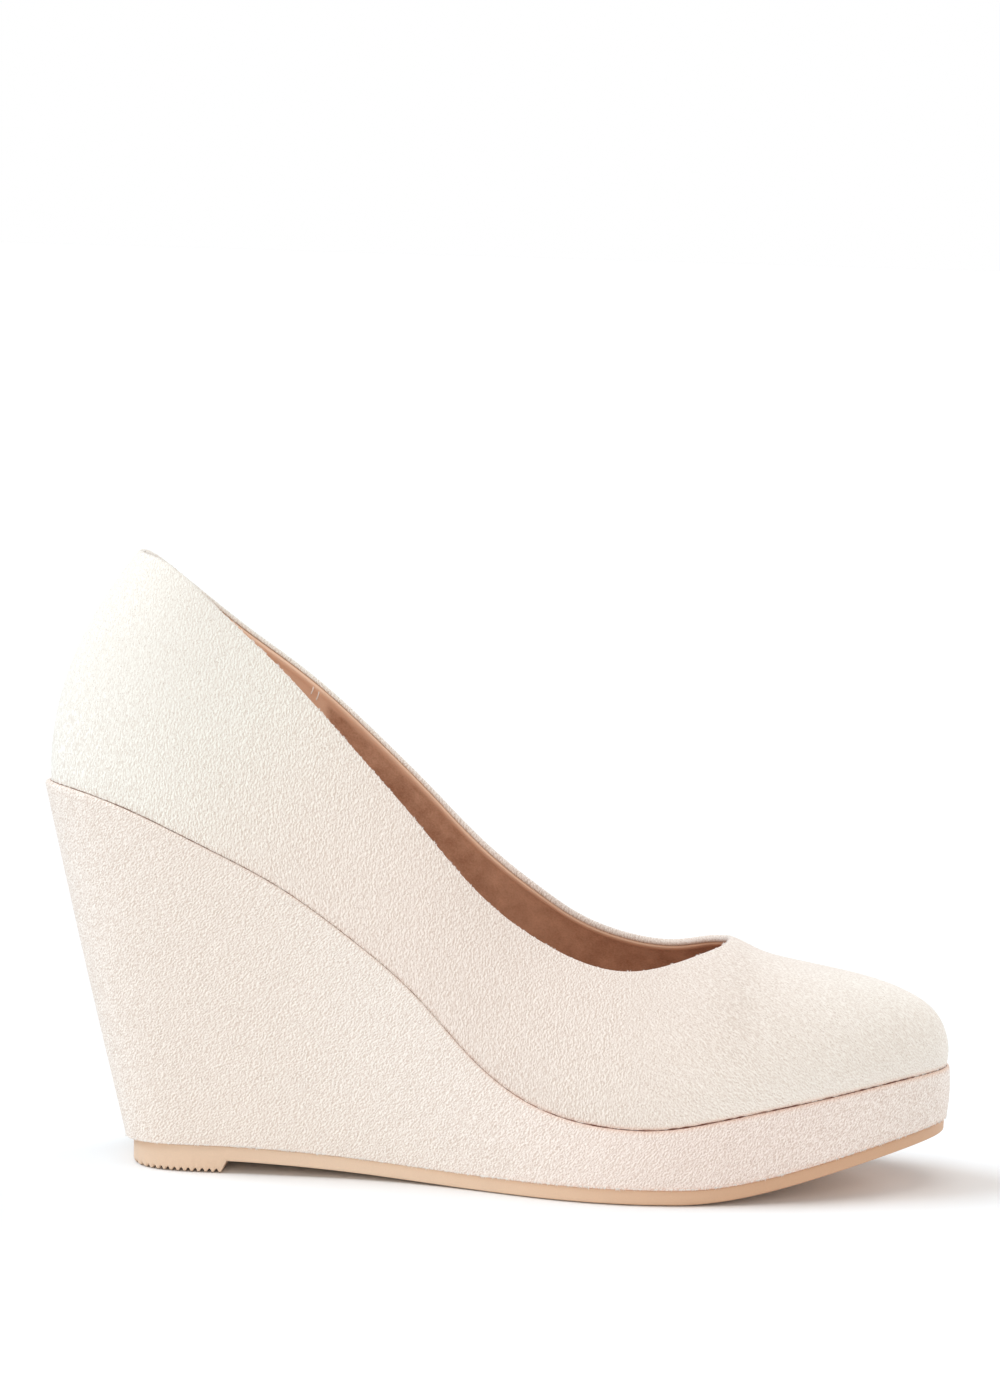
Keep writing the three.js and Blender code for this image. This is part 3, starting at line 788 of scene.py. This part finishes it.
def walked(points, lengths):
    """Points at given lengths along each column. The columns are laid end to end on one long
    measure, so that a single interpolation serves them all."""
    step = np.linalg.norm(np.diff(points, axis=1), axis=2)
    run = np.concatenate([np.zeros((len(points), 1)), np.cumsum(step, 1)], 1)
    lay = 2 * run.max() * np.arange(len(points))[:, None]
    wanted = np.clip(lengths, 0, run[:, -1:]) + lay
    found = [np.interp(wanted, (run + lay).ravel(), points[..., i].ravel()) for i in range(3)]
    return np.stack(found, -1)


def normals_of(grid):
    """Unit normals of a grid that is closed around the shoe and open upwards."""
    across = np.roll(grid, -1, 0) - np.roll(grid, 1, 0)
    return unit(np.cross(across, np.gradient(grid, axis=1)))


trail = trails()
total = np.linalg.norm(np.diff(trail, axis=1), axis=2).sum(1)[:, None]
face_share = np.linspace(0, 1, FACE_LEVELS)[None] ** LEVEL_BIAS
lengths = np.concatenate(
    [face_share * (total - EDGE_DEPTHS[0] - EDGE_SPACE), total - EDGE_DEPTHS[None]], axis=1
)
skin = walked(trail, lengths)
normal = normals_of(skin)
climb = unit(np.gradient(skin, axis=1))
print("topline", round(float(measure_of(skin[:, -1])[-1])), "mm")


# %% [markdown]
# ## Suede shell and lining
#
# A real pump's suede is glued over the stiffeners, its top edge is skived, folded over and stitched
# to the lining just inside the collar. So the shell is one hoop whose section runs up the
# outside, over the fold, a little down the inside and back under the lining. The lining is a
# second hoop inside it, with a rolled top edge. One function gives the point at so many
# millimetres below the topline and so many under the outer face.

# %% Suede shell
FOLD_STEPS = 8
VAMP_START, VAMP_BLEND = 150.0, 35.0
WEAK_SHADE_HEEL, HEEL_END, HEEL_BLEND = 0.65, 75.0, 60.0
WEAK_SHADE_FROM, WEAK_SHADE_RISE = 90.0, 40.0
WEAK_SHADE_VAMP, VAMP_RISE = 0.5, 50.0
SHELL_BLUSH = 0.5
FOLD_DEPTH, FOLD_TUCK = 0.15, 0.3
BACKING, SEAT_GAP = 1.15, 0.06


def level_at(depth):
    """The index of the grid's level at one of the edge depths."""
    return FACE_LEVELS + int(np.argmin(np.abs(EDGE_DEPTHS - depth)))


def under(depth_level, offset):
    """The ring of a level, moved in from the outer face."""
    return skin[:, depth_level] - normal[:, depth_level] * offset


def seated(ring):
    """A bottom ring lifted by the hair's width that stays open between upper and wedge."""
    lifted = ring.copy()
    lifted[:, 2] += SEAT_GAP
    return lifted


def shell_rings():
    """Up the outer face, half an ellipse over the fold, down to the fold's end, and back."""
    levels = skin.shape[1]
    rings = [seated(skin[:, 0])] + [skin[:, j] for j in range(1, levels)]
    crest = under(levels - 1, UPPER_WALL / 2)
    for turn in np.linspace(0, math.pi, FOLD_STEPS + 1)[1:-1]:
        out = normal[:, -1] * (UPPER_WALL / 2) * math.cos(turn)
        rings.append(crest + out + climb[:, -1] * EDGE_CROWN * math.sin(turn))
    for j in range(levels - 1, level_at(FOLD_DEPTH), -1):
        rings.append(under(j, UPPER_WALL))
    rings.append(under(level_at(FOLD_DEPTH), UPPER_WALL - FOLD_TUCK))
    for j in range(level_at(FOLD_DEPTH), 0, -2):
        rings.append(under(j, BACKING))
    rings.append(seated(under(0, BACKING)))
    return rings


rings = shell_rings()
suede_shell = ring_body("suede_shell", rings, False, upper_suede, ["upper"])
place_x, place_z = np.stack(rings)[..., 0], np.stack(rings)[..., 2]
paint(suede_shell, "front", np.clip((place_x - VAMP_START) / VAMP_BLEND, 0, 1))
# The painted light and shade of the tufts is weaker on the upper heel and over the vamp, where the
# light falls most squarely.
on_heel = np.clip((HEEL_END - place_x) / HEEL_BLEND, 0, 1)
on_heel *= np.clip((place_z - WEAK_SHADE_FROM) / WEAK_SHADE_RISE, 0, 1)
on_vamp = np.clip((place_x - VAMP_START) / VAMP_RISE, 0, 1)
paint(suede_shell, "weak_tuft_shade", WEAK_SHADE_HEEL * on_heel + WEAK_SHADE_VAMP * on_vamp)
above_seam = place_z - seat_height(np.clip(place_x, 0, LENGTH))
paint(suede_shell, "blush", pink_tint(place_x, above_seam, SHELL_BLUSH))

# %% Lining with heel grip
HEEL_GRIP_END, GRIP_EDGE = 70.5, 0.25
GRIP_THICKNESS, GRIP_PALE = 0.35, 0.8
LINING_TOP, LINING_SKIN, BACKING_GAP = 0.5, 0.18, 0.06
TOP_ROLL = ((0.0, 1.23), (0.12, 1.3), (0.22, 1.65), (0.2, 2.05), (0.08, 2.32))
BEAD, BEAD_DEPTH, DEEP = 0.28, 0.6, 5.0
DAYLIGHT, DAYLIGHT_X, DAYLIGHT_WIDTH = 0.25, 124.0, 14.0
EDGE_LIGHT_FROM, EDGE_LIGHT_WIDTH, EDGE_LIGHT_MORE = 1.1, 1.2, 1.0
EDGE_LIGHT_START, EDGE_LIGHT_BLEND = 110.0, 40.0


def grip_share(x):
    """1 on the heel grip and 0 in front of it, with a soft step at its front edge."""
    return 1 / (1 + np.exp((x - HEEL_GRIP_END) / GRIP_EDGE))


def lining_rings():
    """Up the hidden side at a fixed depth, a rolled edge, and down the visible side with a low
    bead below the edge. Behind the heel grip's front edge the visible side stands out by the
    grip's thickness. Each ring comes with its depth below the lining's top."""
    thick = GRIP_THICKNESS * grip_share(skin[:, :, 0])
    top = level_at(LINING_TOP)
    rings = [seated(under(0, BACKING + BACKING_GAP))]
    rings += [under(j, BACKING + BACKING_GAP) for j in range(2, top - 2, 2)]
    depth = [DEEP] * len(rings) + [0.0] * len(TOP_ROLL)
    rings += [under(top, offset) + climb[:, top] * lift for lift, offset in TOP_ROLL]
    for j in range(top, 0, -1):
        below = EDGE_DEPTHS[j - FACE_LEVELS] - LINING_TOP if j >= FACE_LEVELS else DEEP
        bead = BEAD * math.exp(-((below - BEAD_DEPTH) ** 2))
        inward = UPPER_WALL + LINING_SKIN + bead + thick[:, j]
        rings.append(under(j, inward[:, None]))
        depth.append(below)
    rings.append(seated(under(0, UPPER_WALL + LINING_SKIN)))
    return rings, np.array(depth + [DEEP])


rings, depth = lining_rings()
lining = ring_body("lining", rings, False, lining_leather, ["upper"])
place_x = np.stack(rings)[..., 0]
on_grip = GRIP_PALE * grip_share(place_x)
# Painted pool of light on the middle of the lining.
in_light = DAYLIGHT * np.exp(-(((place_x - DAYLIGHT_X) / DAYLIGHT_WIDTH) ** 2))
# Painted highlight along the rolled top edge, which faces up into the light, in a band that widens
# towards the heel.
lit_band = EDGE_LIGHT_WIDTH + EDGE_LIGHT_MORE * np.clip((EDGE_LIGHT_START - place_x) / EDGE_LIGHT_BLEND, 0, 1)
near_edge = np.clip(1 - (depth[:, None] - EDGE_LIGHT_FROM) / lit_band, 0, 1)
# One value for the heel grip's own paler colour, the painted pool of light and the painted highlight.
paint(lining, "grip_and_painted_light", np.maximum(np.maximum(on_grip, in_light), near_edge))

# %% [markdown]
# ## Sock
#
# The sock is the brown sheet that one sees inside. It covers the insole board and meets the
# lining all round. A slight crown keeps it from looking like a plate.

# %% Sock on the insole
INSOLE_THICKNESS, SIDE_GAP, SOCK_CROWN, SOCK_ROUND = 3.0, 0.4, 0.6, 0.5


def sock_rings():
    """Side, rounded rim, then loops that close in on the middle line under a parabola."""
    rim = grown(feather_loop, -(UPPER_WALL + SIDE_GAP))
    low = seat_height(rim[:, 0]) + SEAT_GAP
    high = low + INSOLE_THICKNESS
    rim[:, 0] += back_curve(0, rim[:, 0])
    rings = [raised(rim, low), raised(rim, high - SOCK_ROUND)]
    middle = (rim[:, 1] + np.roll(rim[::-1, 1], 1)) / 2
    for share in (0.985, 0.96, 0.85, 0.7, 0.5, 0.3, 0.1):
        loop = np.column_stack([rim[:, 0], middle + (rim[:, 1] - middle) * share])
        rings.append(raised(loop, high + SOCK_CROWN * (1 - share**2)))
    return rings


sock = ring_body("sock", sock_rings(), True, sock_leather, ["insole"])
paint(sock, "grip_and_painted_light", np.zeros(len(sock.data.vertices)))

# %% [markdown]
# ## Outsole
#
# A thin moulded unit: a heel pad with cross grooves that bite the floor, a breast in front of it,
# the arch, the flat tread and the sprung toe. Grooves could be cut with booleans, but the unit is
# a stack of loops anyway, so the stations are simply chosen at every groove and their height is
# lifted there.

# %% Stations of the outsole
SOLE_INSET, SOLE_SET_IN, SOLE_GAP = 0.7, 2.4, 0.04
PAD_LENGTH, BREAST_SLOPE = 26.0, 1.4
GROOVE_PITCH, GROOVE_DEPTH, GROOVE_SHARE = 1.85, 0.8, 0.7
SOLE_STATIONS, SOLE_ROUND = 150, 0.7
sole_start = WEDGE_SET_IN + SOLE_SET_IN
sole_end = WEDGE_SET_IN + FOOT_LENGTH - SOLE_INSET
breast = sole_start + PAD_LENGTH


def groove(x):
    """Depth of the pad's grooves: half a cosine's hump over the groove's share of the pitch."""
    phase = ((breast - x) / GROOVE_PITCH) % 1.0
    inside = np.clip(1 - np.abs(phase - 1 + GROOVE_SHARE / 2) / (GROOVE_SHARE / 2), 0, 1)
    count = math.floor((PAD_LENGTH - (1 - GROOVE_SHARE) * GROOVE_PITCH) / GROOVE_PITCH)
    on_grooves = (x > breast - count * GROOVE_PITCH) & (x < breast)
    return np.where(on_grooves, GROOVE_DEPTH * np.sin(inside * math.pi / 2), 0.0)


def sole_places():
    """Places along the outsole: even steps of the angle, a fine comb over the grooves, and the
    two edges of the breast."""
    even = sole_start + (sole_end - sole_start) * (
        1 - np.cos(np.linspace(0, math.pi, SOLE_STATIONS))
    ) / 2
    comb = np.arange(breast - 14 * GROOVE_PITCH, breast, GROOVE_PITCH / 10)
    comb = comb[comb > sole_start + 0.6]
    even = even[(even < comb[0] - 0.1) | (even > breast + BREAST_SLOPE + 0.4)]
    return np.sort(np.concatenate([even, comb, [breast, breast + 0.05, breast + BREAST_SLOPE]]))


def outsole_rings():
    """Underside with a small rounding, upright side, and a small rounding under the wedge."""
    x = sole_places()
    count = len(x) - 1
    k = np.arange(2 * count)
    index = np.where(k <= count, k, 2 * count - k)
    side = np.where(k <= count, OUTER, INNER)
    x = x[index]
    station = (x - sole_start) / (sole_end - sole_start)
    half = BALL_WIDTH * foot_half(station) - SOLE_INSET * np.sin(angle_of(station))
    foot_station = (x - WEDGE_SET_IN) / FOOT_LENGTH
    loop = np.column_stack([x, BALL_WIDTH * foot_shift(foot_station) + side * half])
    plain = under_height(foot_station)
    rise = np.clip((x - breast) / BREAST_SLOPE, 0, 1)
    bottom = plain * rise + groove(x)
    top = sole_height(x) - SOLE_GAP
    normal_out = outward_of(loop)

    def at(inset, height):
        return np.column_stack([loop - normal_out * inset, height])

    rings = [at(SOLE_ROUND * 1.6, bottom)]
    for turn in np.linspace(0, math.pi / 2, 4):
        inset = SOLE_ROUND * (1 - math.sin(turn))
        rings.append(at(inset, bottom + SOLE_ROUND * (1 - math.cos(turn))))
    waist = np.maximum(bottom + SOLE_ROUND, plain * rise + SOLE_ROUND + GROOVE_DEPTH)
    rings.append(at(-0.05, (waist + top) / 2))
    rings.append(at(0.0, top - 0.2))
    rings.append(at(0.25, top))
    return rings


ring_body("outsole_unit", outsole_rings(), True, tan_rubber, ["outsole"])

# %% [markdown]
# ## The line of the seam
#
# Where the cover of the wedge meets the upper there is a thin line of cement and cut edge. It is
# not even: the nap covers it here and there, and towards the heel it is thin and a greyer brown.
# A small tube along the feather line shows it, with a radius and a colour that wander.

# %% Cement line
LINE_RADIUS, THIN_LINE, LINE_CORNERS = 0.27, 0.35, 6
LINE_STEPS, RADIUS_KNOTS, BROWN_KNOTS = 900, 420, 520
LINE_OUT, LINE_UP = 0.12, 0.06
LINE_FRONT, LINE_BLEND = 0.45, 0.2
TOE_END, TOE_BLEND, TOE_LEAST = 0.99, 0.04, 0.3
BROWN_BEHIND, BROWN_MORE = 0.45, 0.4


def wander(positions, knots, low, high):
    """A random smooth course: values at even knots, joined by a cosine between neighbours."""
    values = rng.uniform(low, high, knots + 1)
    values[-1] = values[0]
    place = positions * knots
    i = np.clip(place.astype(int), 0, knots - 1)
    blend = (1 - np.cos(np.pi * (place - i))) / 2
    return values[i] * (1 - blend) + values[i + 1] * blend


def tube_rings(path, side_way, up_way, radius, corners):
    """Rings around a closed path: the path plus the radius turned from one way to the other."""
    return [
        path + radius[:, None] * (math.cos(t) * side_way + math.sin(t) * up_way)
        for t in np.linspace(0, 2 * math.pi, corners, endpoint=False)
    ]


def cement_tube():
    """A closed tube in the corner between the upper and the lip of the wedge."""
    station, side = around(LINE_STEPS)
    loop = feather(station, side)
    out = outward_of(loop)
    path = raised(loop + out * LINE_OUT, seat_height(loop[:, 0]) + LINE_UP)
    path[:, 0] += back_curve(0, loop[:, 0])
    share = np.arange(len(loop)) / len(loop)
    front = np.clip((station - LINE_FRONT) / LINE_BLEND, 0, 1)
    front *= np.clip((TOE_END - station) / TOE_BLEND, TOE_LEAST, 1)
    thick = THIN_LINE + (1 - THIN_LINE) * front
    radius = LINE_RADIUS * thick * wander(share, RADIUS_KNOTS, 0.1, 1.25)
    out3 = np.column_stack([out, np.zeros(len(out))])
    up = np.tile([0.0, 0.0, 1.0], (len(out), 1))
    rings = tube_rings(path, out3, up, radius, LINE_CORNERS)
    brown = BROWN_BEHIND + BROWN_MORE * front + wander(share, BROWN_KNOTS, -0.6, 0.5)
    return rings, np.clip(brown, 0, 1)


rings, brown = cement_tube()
line = ring_body("cement_line", rings, False, brown_cement)
paint(line, "brown", np.tile(brown, (len(rings), 1)))

# %% [markdown]
# ## Stitches and loose ends
#
# The fold is held by a row of small stitches just inside the collar, and two cut thread ends hang
# where the heel grip begins. A stitch is a slim grain of rice, the same few faces over and over,
# set along the ring at the end of the fold.

# %% Stitches
STITCH_PITCH, STITCH_LENGTH, STITCH_RADIUS = 3.0, 1.7, 0.13
STITCH_DEPTH, STITCH_SINK = 0.5, 0.12


def even_places(ring, pitch):
    """Places along a closed ring at an even pitch, as broken indices of its points."""
    run = measure_of(np.vstack([ring, ring[:1]]))
    return np.interp(np.arange(0, run[-1] - pitch / 2, pitch), run, np.arange(len(run)))


def pick(values, index):
    """Values of a closed ring at broken indices."""
    closed = np.concatenate([values, values[:1]])
    low = np.floor(index).astype(int)
    share = (index - low)[:, None]
    return closed[low] * (1 - share) + closed[low + 1] * share


def grains(centres, run, out, length, radius, corners=6, bands=4):
    """Ellipsoids with their long axis on run: bands from pole to pole, corners around each."""
    turn = np.linspace(0, math.pi, bands + 1)
    around_ = np.linspace(0, 2 * math.pi, corners, endpoint=False)
    third = np.cross(run, out)
    x = (length / 2) * np.cos(turn)
    r = radius * np.sin(turn)
    ring = np.cos(around_)[:, None, None] * out + np.sin(around_)[:, None, None] * third
    points = centres + x[:, None, None, None] * run + r[:, None, None, None] * ring
    points = points.transpose(2, 0, 1, 3)
    inner = points[:, 1:-1].reshape(len(centres), -1, 3)
    return np.concatenate([points[:, 0, :1], inner, points[:, -1, :1]], 1)


def grain_faces(count, corners=6, bands=4):
    """The faces of one grain, repeated for each with its own number range."""
    rows = bands - 1
    per = rows * corners + 2
    c = np.arange(corners)
    after = (c + 1) % corners
    faces = [[0, 1 + int(a), 1 + int(b)] for a, b in zip(after, c)]
    for band in range(rows - 1):
        low, high = 1 + band * corners, 1 + (band + 1) * corners
        faces += [[low + int(a), low + int(b), high + int(b), high + int(a)] for a, b in zip(c, after)]
    end = 1 + (rows - 1) * corners
    faces += [[per - 1, end + int(a), end + int(b)] for a, b in zip(c, after)]
    return [[v + per * i for v in f] for i in range(count) for f in faces]


fold_ring = under(level_at(STITCH_DEPTH), UPPER_WALL - STITCH_SINK)
index = even_places(fold_ring, STITCH_PITCH)
centres = pick(fold_ring, index)
run_way = unit(pick(np.roll(fold_ring, -1, 0) - np.roll(fold_ring, 1, 0), index))
in_way = unit(-pick(normal[:, level_at(STITCH_DEPTH)], index))
stitches = grains(centres, run_way, in_way, STITCH_LENGTH, STITCH_RADIUS)
piece("topline_stitches", stitches, grain_faces(len(centres)), cream_thread)
print(len(centres), "stitches")


# %% Loose thread ends
THREADS = ((67.5, 3.0, 0.8), (69.6, 3.4, 0.9))
THREAD_RADIUS, THREAD_SINK, THREAD_POINTS = 0.16, 0.25, 9


def open_tube(path, radius, corners):
    """Rings around an open path, drawn together at both ends."""
    way = unit(np.gradient(path, axis=0))
    side_way = unit(np.cross(way, [0.0, 1.0, 0.0]))
    up_way = np.cross(side_way, way)
    taper = np.sqrt(np.clip(1 - np.linspace(-1, 1, len(path)) ** 8, 0.02, 1))
    turn = np.linspace(0, 2 * math.pi, corners, endpoint=False)
    ring = np.cos(turn)[:, None, None] * side_way + np.sin(turn)[:, None, None] * up_way
    points = path + radius * taper[:, None] * ring
    return points.transpose(1, 0, 2)


def thread_end(start_x, drop, lean):
    """A short thread from the end of the fold on the inner side, hanging and leaning back."""
    column = int(np.argmin(np.abs(skin[:, -1, 0] - start_x) + 1e3 * (sides == OUTER)))
    start = under(level_at(STITCH_DEPTH), UPPER_WALL + THREAD_SINK)[column]
    share = np.linspace(0, 1, THREAD_POINTS)[:, None]
    fall = np.array([-lean, -0.25, -drop])
    bow = np.array([0.25, -0.3, 0.0]) * np.sin(np.pi * share)
    return start + share * fall + bow


def tubes(paths, radius, corners=6):
    """Several open tubes as one set of points and faces, with both ends closed."""
    points, faces, base = [], [], 0
    for path in paths:
        grid = open_tube(path, radius, corners)
        rows = len(path)
        r = np.arange(rows - 1)[:, None] * corners + base
        c = np.arange(corners)[None]
        after = (c + 1) % corners
        quads = np.stack([r + c, r + after, r + corners + after, r + corners + c], -1)
        faces += quads.reshape(-1, 4).tolist()
        faces.append((base + np.arange(corners))[::-1].tolist())
        faces.append((base + (rows - 1) * corners + np.arange(corners)).tolist())
        points.append(grid.reshape(-1, 3))
        base += rows * corners
    return np.concatenate(points), faces


points, faces = tubes([thread_end(*thread) for thread in THREADS], THREAD_RADIUS)
piece("thread_ends", points, faces, cream_fibre)

# %% [markdown]
# ## Fuzz on the cut edges
#
# Wherever the cover ends the buffed nap is cut and stands up. Along the collar it shows against
# the brown lining as a ragged pale edge of small clumps, and along the seam and the sole it hangs
# over the line and breaks it up. Each fibre is a slim spike of three corners with one joint, bent
# over at the tip. Clumps are made by drawing the fibres' places around far fewer centres.

# %% Fibres
CLUMP_FIBRES, CLUMP_WIDTH = 7, 0.16
JOINT_AT, TIP_BEND = 0.55, 0.7
ASKEW = [0.3, 0.4, 0.87]


def fibre_points(root, way, bent_way, length, radius):
    """Three corners at the root, three half way, and one at the tip."""
    side_way = unit(np.cross(way, ASKEW))
    up_way = np.cross(way, side_way)
    turn = np.arange(3) * 2 * math.pi / 3
    ring = np.cos(turn)[:, None, None] * side_way + np.sin(turn)[:, None, None] * up_way
    low = root + ring * radius[:, None]
    joint = root + way * (JOINT_AT * length)[:, None]
    middle = joint + ring * (0.75 * radius)[:, None]
    tip = joint + bent_way * ((1 - JOINT_AT) * length)[:, None]
    return np.concatenate([low, middle, tip[None]]).transpose(1, 0, 2)


fibre_faces = [[2, 1, 0], [0, 1, 4, 3], [1, 2, 5, 4], [2, 0, 3, 5], [3, 4, 6], [4, 5, 6], [5, 3, 6]]


def fibre_piece(name, root, way, along_way, length, radius, slot):
    """Fibres from their roots along their ways, each bent over sideways by chance."""
    way = unit(way)
    bent = unit(way + along_way * rng.normal(0, TIP_BEND, (len(way), 1)))
    fibres = fibre_points(root, way, bent, length, radius)
    faces = [[v + 7 * i for v in f] for i in range(len(root)) for f in fibre_faces]
    return piece(name, fibres, faces, cream_fibre)


def clumped(ring, pitch):
    """Places along a ring in clumps, about one for each pitch, with a size for each clump."""
    measure = measure_of(ring)
    clumps = int(measure[-1] / pitch)
    centre = np.repeat(rng.uniform(0, measure[-1], clumps), CLUMP_FIBRES)
    size = np.repeat(rng.gamma(5.0, 0.2, clumps).clip(0.4, 1.9), CLUMP_FIBRES)
    place = centre + rng.normal(0, CLUMP_WIDTH, len(centre)) * size
    return np.interp(place % measure[-1], measure, np.arange(len(ring))), size


# %% Clumps on the collar
COLLAR_PITCH, COLLAR_LENGTH, INNER_NAP = 0.75, 0.42, 0.35


def collar_fibres():
    """Clumps on the inner half of the fold, each fibre a little off the fold's own direction."""
    place, size = clumped(skin[:, -1], COLLAR_PITCH)
    count = len(place)
    turn = rng.uniform(0.35, 0.8, count // CLUMP_FIBRES).repeat(CLUMP_FIBRES) * math.pi
    turn += rng.normal(0, 0.15, count)
    out, up = pick(normal[:, -1], place), pick(climb[:, -1], place)
    along_way = pick(ring_run(skin[:, -1]), place)
    crest = pick(under(-1, UPPER_WALL / 2), place)
    cos, sin = np.cos(turn)[:, None], np.sin(turn)[:, None]
    root = crest + out * (UPPER_WALL / 2 - 0.05) * cos + up * (EDGE_CROWN - 0.05) * sin
    way = out * cos + up * sin + along_way * rng.normal(0, 0.35, (count, 1))
    nap = np.where(pick(skin[:, -1], place)[:, 1] > 0, INNER_NAP, 1.0)
    length = COLLAR_LENGTH * nap * size * rng.uniform(0.6, 1.15, count)
    return root, way, along_way, length, rng.uniform(0.05, 0.085, count)


fibre_piece("collar_fibres", *collar_fibres(), "upper_suede")

# %% Fringes along the seam and the sole
FRINGE_PITCH, ROOT_LIFT = 0.55, 0.02
SEAM_FALL, SEAM_FRINGE = 0.85, 0.45
SOLE_FALL, SOLE_FRINGE = 0.9, 0.55


def fringe(ring, out, fall, length):
    """Clumps that hang from a ring: mostly down, a little outwards, by chance to the side."""
    place, size = clumped(ring, FRINGE_PITCH)
    count = len(place)
    along_way, out = pick(ring_run(ring), place), pick(out, place)
    down = np.array([0.0, 0.0, -1.0])
    way = out * (1 - fall) + down * fall + along_way * rng.normal(0, 0.4, (count, 1))
    root = pick(ring, place) - out * 0.04
    lengths = length * size * rng.uniform(0.5, 1.2, count)
    return root, way, along_way, lengths, rng.uniform(0.045, 0.075, count)


seam_ring = skin[:, 1] + normal[:, 1] * ROOT_LIFT
seam_fibres = fringe(seam_ring, normal[:, 1], SEAM_FALL, SEAM_FRINGE)
fibre_piece("seam_fringe", *seam_fibres, "upper_suede")
foot_ring = wedge_foot + outward_3d * ROOT_LIFT
sole_fibres = fringe(foot_ring, outward_3d, SOLE_FALL, SOLE_FRINGE)
fibre_piece("sole_fringe", *sole_fibres, "wedge_cover")

# %% [markdown]
# ## Floor, light and camera
#
# The photo is a product shot on a white sweep: even light from all sides, large soft boxes above
# the heel, low behind the toe, in front and overhead, and only a breath of shadow. The world is
# white to the camera and dimmer as a light, which gives the even part. Each soft box is a far
# light with a wide spread, which is as soft and needs no placing. The camera has a long lens and
# stands a little towards the toe from the shoe's middle, looking slightly down.

# %% Floor
PAPER_SIZE, FLOOR_REACH, FLOOR_DROP = 0.025, 30.0, 0.0002


def white_floor():
    """A big square with a matt white finish, too large for its edge to show."""
    made, tree, place = material("floor_white", Roughness=0.9)
    paper = noise(tree, place, PAPER_SIZE, 2.0).outputs["Fac"]
    dressed(tree, blended(tree, paper, "#F4F4F4", "#F8F8F8"))
    return made


mesh = bpy.data.meshes.new("floor")
corners = ((-1, -1), (1, -1), (1, 1), (-1, 1))
mesh.from_pydata([(FLOOR_REACH * x, FLOOR_REACH * y, 0) for x, y in corners], [], [(0, 1, 2, 3)])
mesh.materials.append(white_floor())
floor = bpy.data.objects.new("floor", mesh)
bpy.context.scene.collection.objects.link(floor)
floor.location.z = -FLOOR_DROP


# %% Light
ROOM_LIGHT, BOX_SPREAD = 0.35, 40.0


def soft_box(name, place, strength, colour):
    """A far light that shines from a place towards the shoe, wide enough for a soft shadow."""
    light = bpy.data.lights.new(name, "SUN")
    light.energy, light.angle, light.color = strength, math.radians(BOX_SPREAD), linear(colour)[:3]
    made = bpy.data.objects.new(name, light)
    made.location = place
    made.rotation_euler = (-Vector(place)).to_track_quat("-Z", "Y").to_euler()
    bpy.context.scene.collection.objects.link(made)
    return made


world = bpy.data.worlds.new("white_room")
world.use_nodes = True
tree = world.node_tree
backdrop = tree.nodes["Background"]
seen = add(tree, "LightPath").outputs["Is Camera Ray"]
strength = add(tree, "MapRange", i0=seen, i1=0.0, i2=1.0, i3=ROOM_LIGHT, i4=1.0)
backdrop.inputs["Color"].default_value = linear("#FFFFFF")
tree.links.new(strength.outputs["Result"], backdrop.inputs["Strength"])
bpy.context.scene.world = world
soft_box("front", (0.0, -0.951, 0.309), 0.86, "#FFF9F2")
soft_box("behind the toe", (0.6725, 0.6725, 0.309), 1.5, "#F2FAFF")
soft_box("above the heel", (-0.6428, 0.0, 0.766), 1.95, "#E3F3FF")
soft_box("overhead", (0.0, -0.0872, 0.9962), 0.75, "#FFF4EC")
bpy.context.scene.view_settings.view_transform = "Standard"

# %% Camera
TURN, DOWN, ROLL = math.radians(5.0), math.radians(8.5), math.radians(1.65)
DISTANCE, PIXELS_PER_MM = 1200.0, 3.81
LOOK = np.array([120.0, 0.0, 70.0])
SHORT_SIDE, LONG_SIDE = 1000, 1400
LOOK_PIXEL = np.array([500.0, 902.0])

right = np.array([math.cos(TURN), math.sin(TURN), 0])
ahead = np.array([-math.sin(TURN) * math.cos(DOWN), math.cos(TURN) * math.cos(DOWN), -math.sin(DOWN)])
up = np.cross(right, ahead)
rolled_right = right * math.cos(ROLL) + up * math.sin(ROLL)
rolled_up = up * math.cos(ROLL) - right * math.sin(ROLL)
focal = PIXELS_PER_MM * DISTANCE
off_centre = np.array([SHORT_SIDE / 2, LONG_SIDE / 2]) - LOOK_PIXEL
aim = ahead + (rolled_right * off_centre[0] - rolled_up * off_centre[1]) / focal
aim /= np.linalg.norm(aim)
right_way = rolled_right - aim * rolled_right.dot(aim)
right_way /= np.linalg.norm(right_way)
up_way = np.cross(right_way, aim)
eye = (LOOK - ahead * DISTANCE + last_to_row) / 1000
lens = bpy.data.cameras.new("camera")
lens.sensor_width = 36.0
lens.lens = lens.sensor_width * focal / LONG_SIDE
lens.clip_start, lens.clip_end = 0.05, 100.0
camera = bpy.data.objects.new("camera", lens)
turned = Matrix(np.column_stack([right_way, up_way, -aim]).tolist()).to_4x4()
camera.matrix_world = Matrix.Translation(Vector(eye.tolist())) @ turned
bpy.context.scene.collection.objects.link(camera)
bpy.context.scene.camera = camera
print("camera at", eye.round(3), "lens", round(lens.lens, 1), "mm")

# %% The end
bpy.context.view_layer.update()
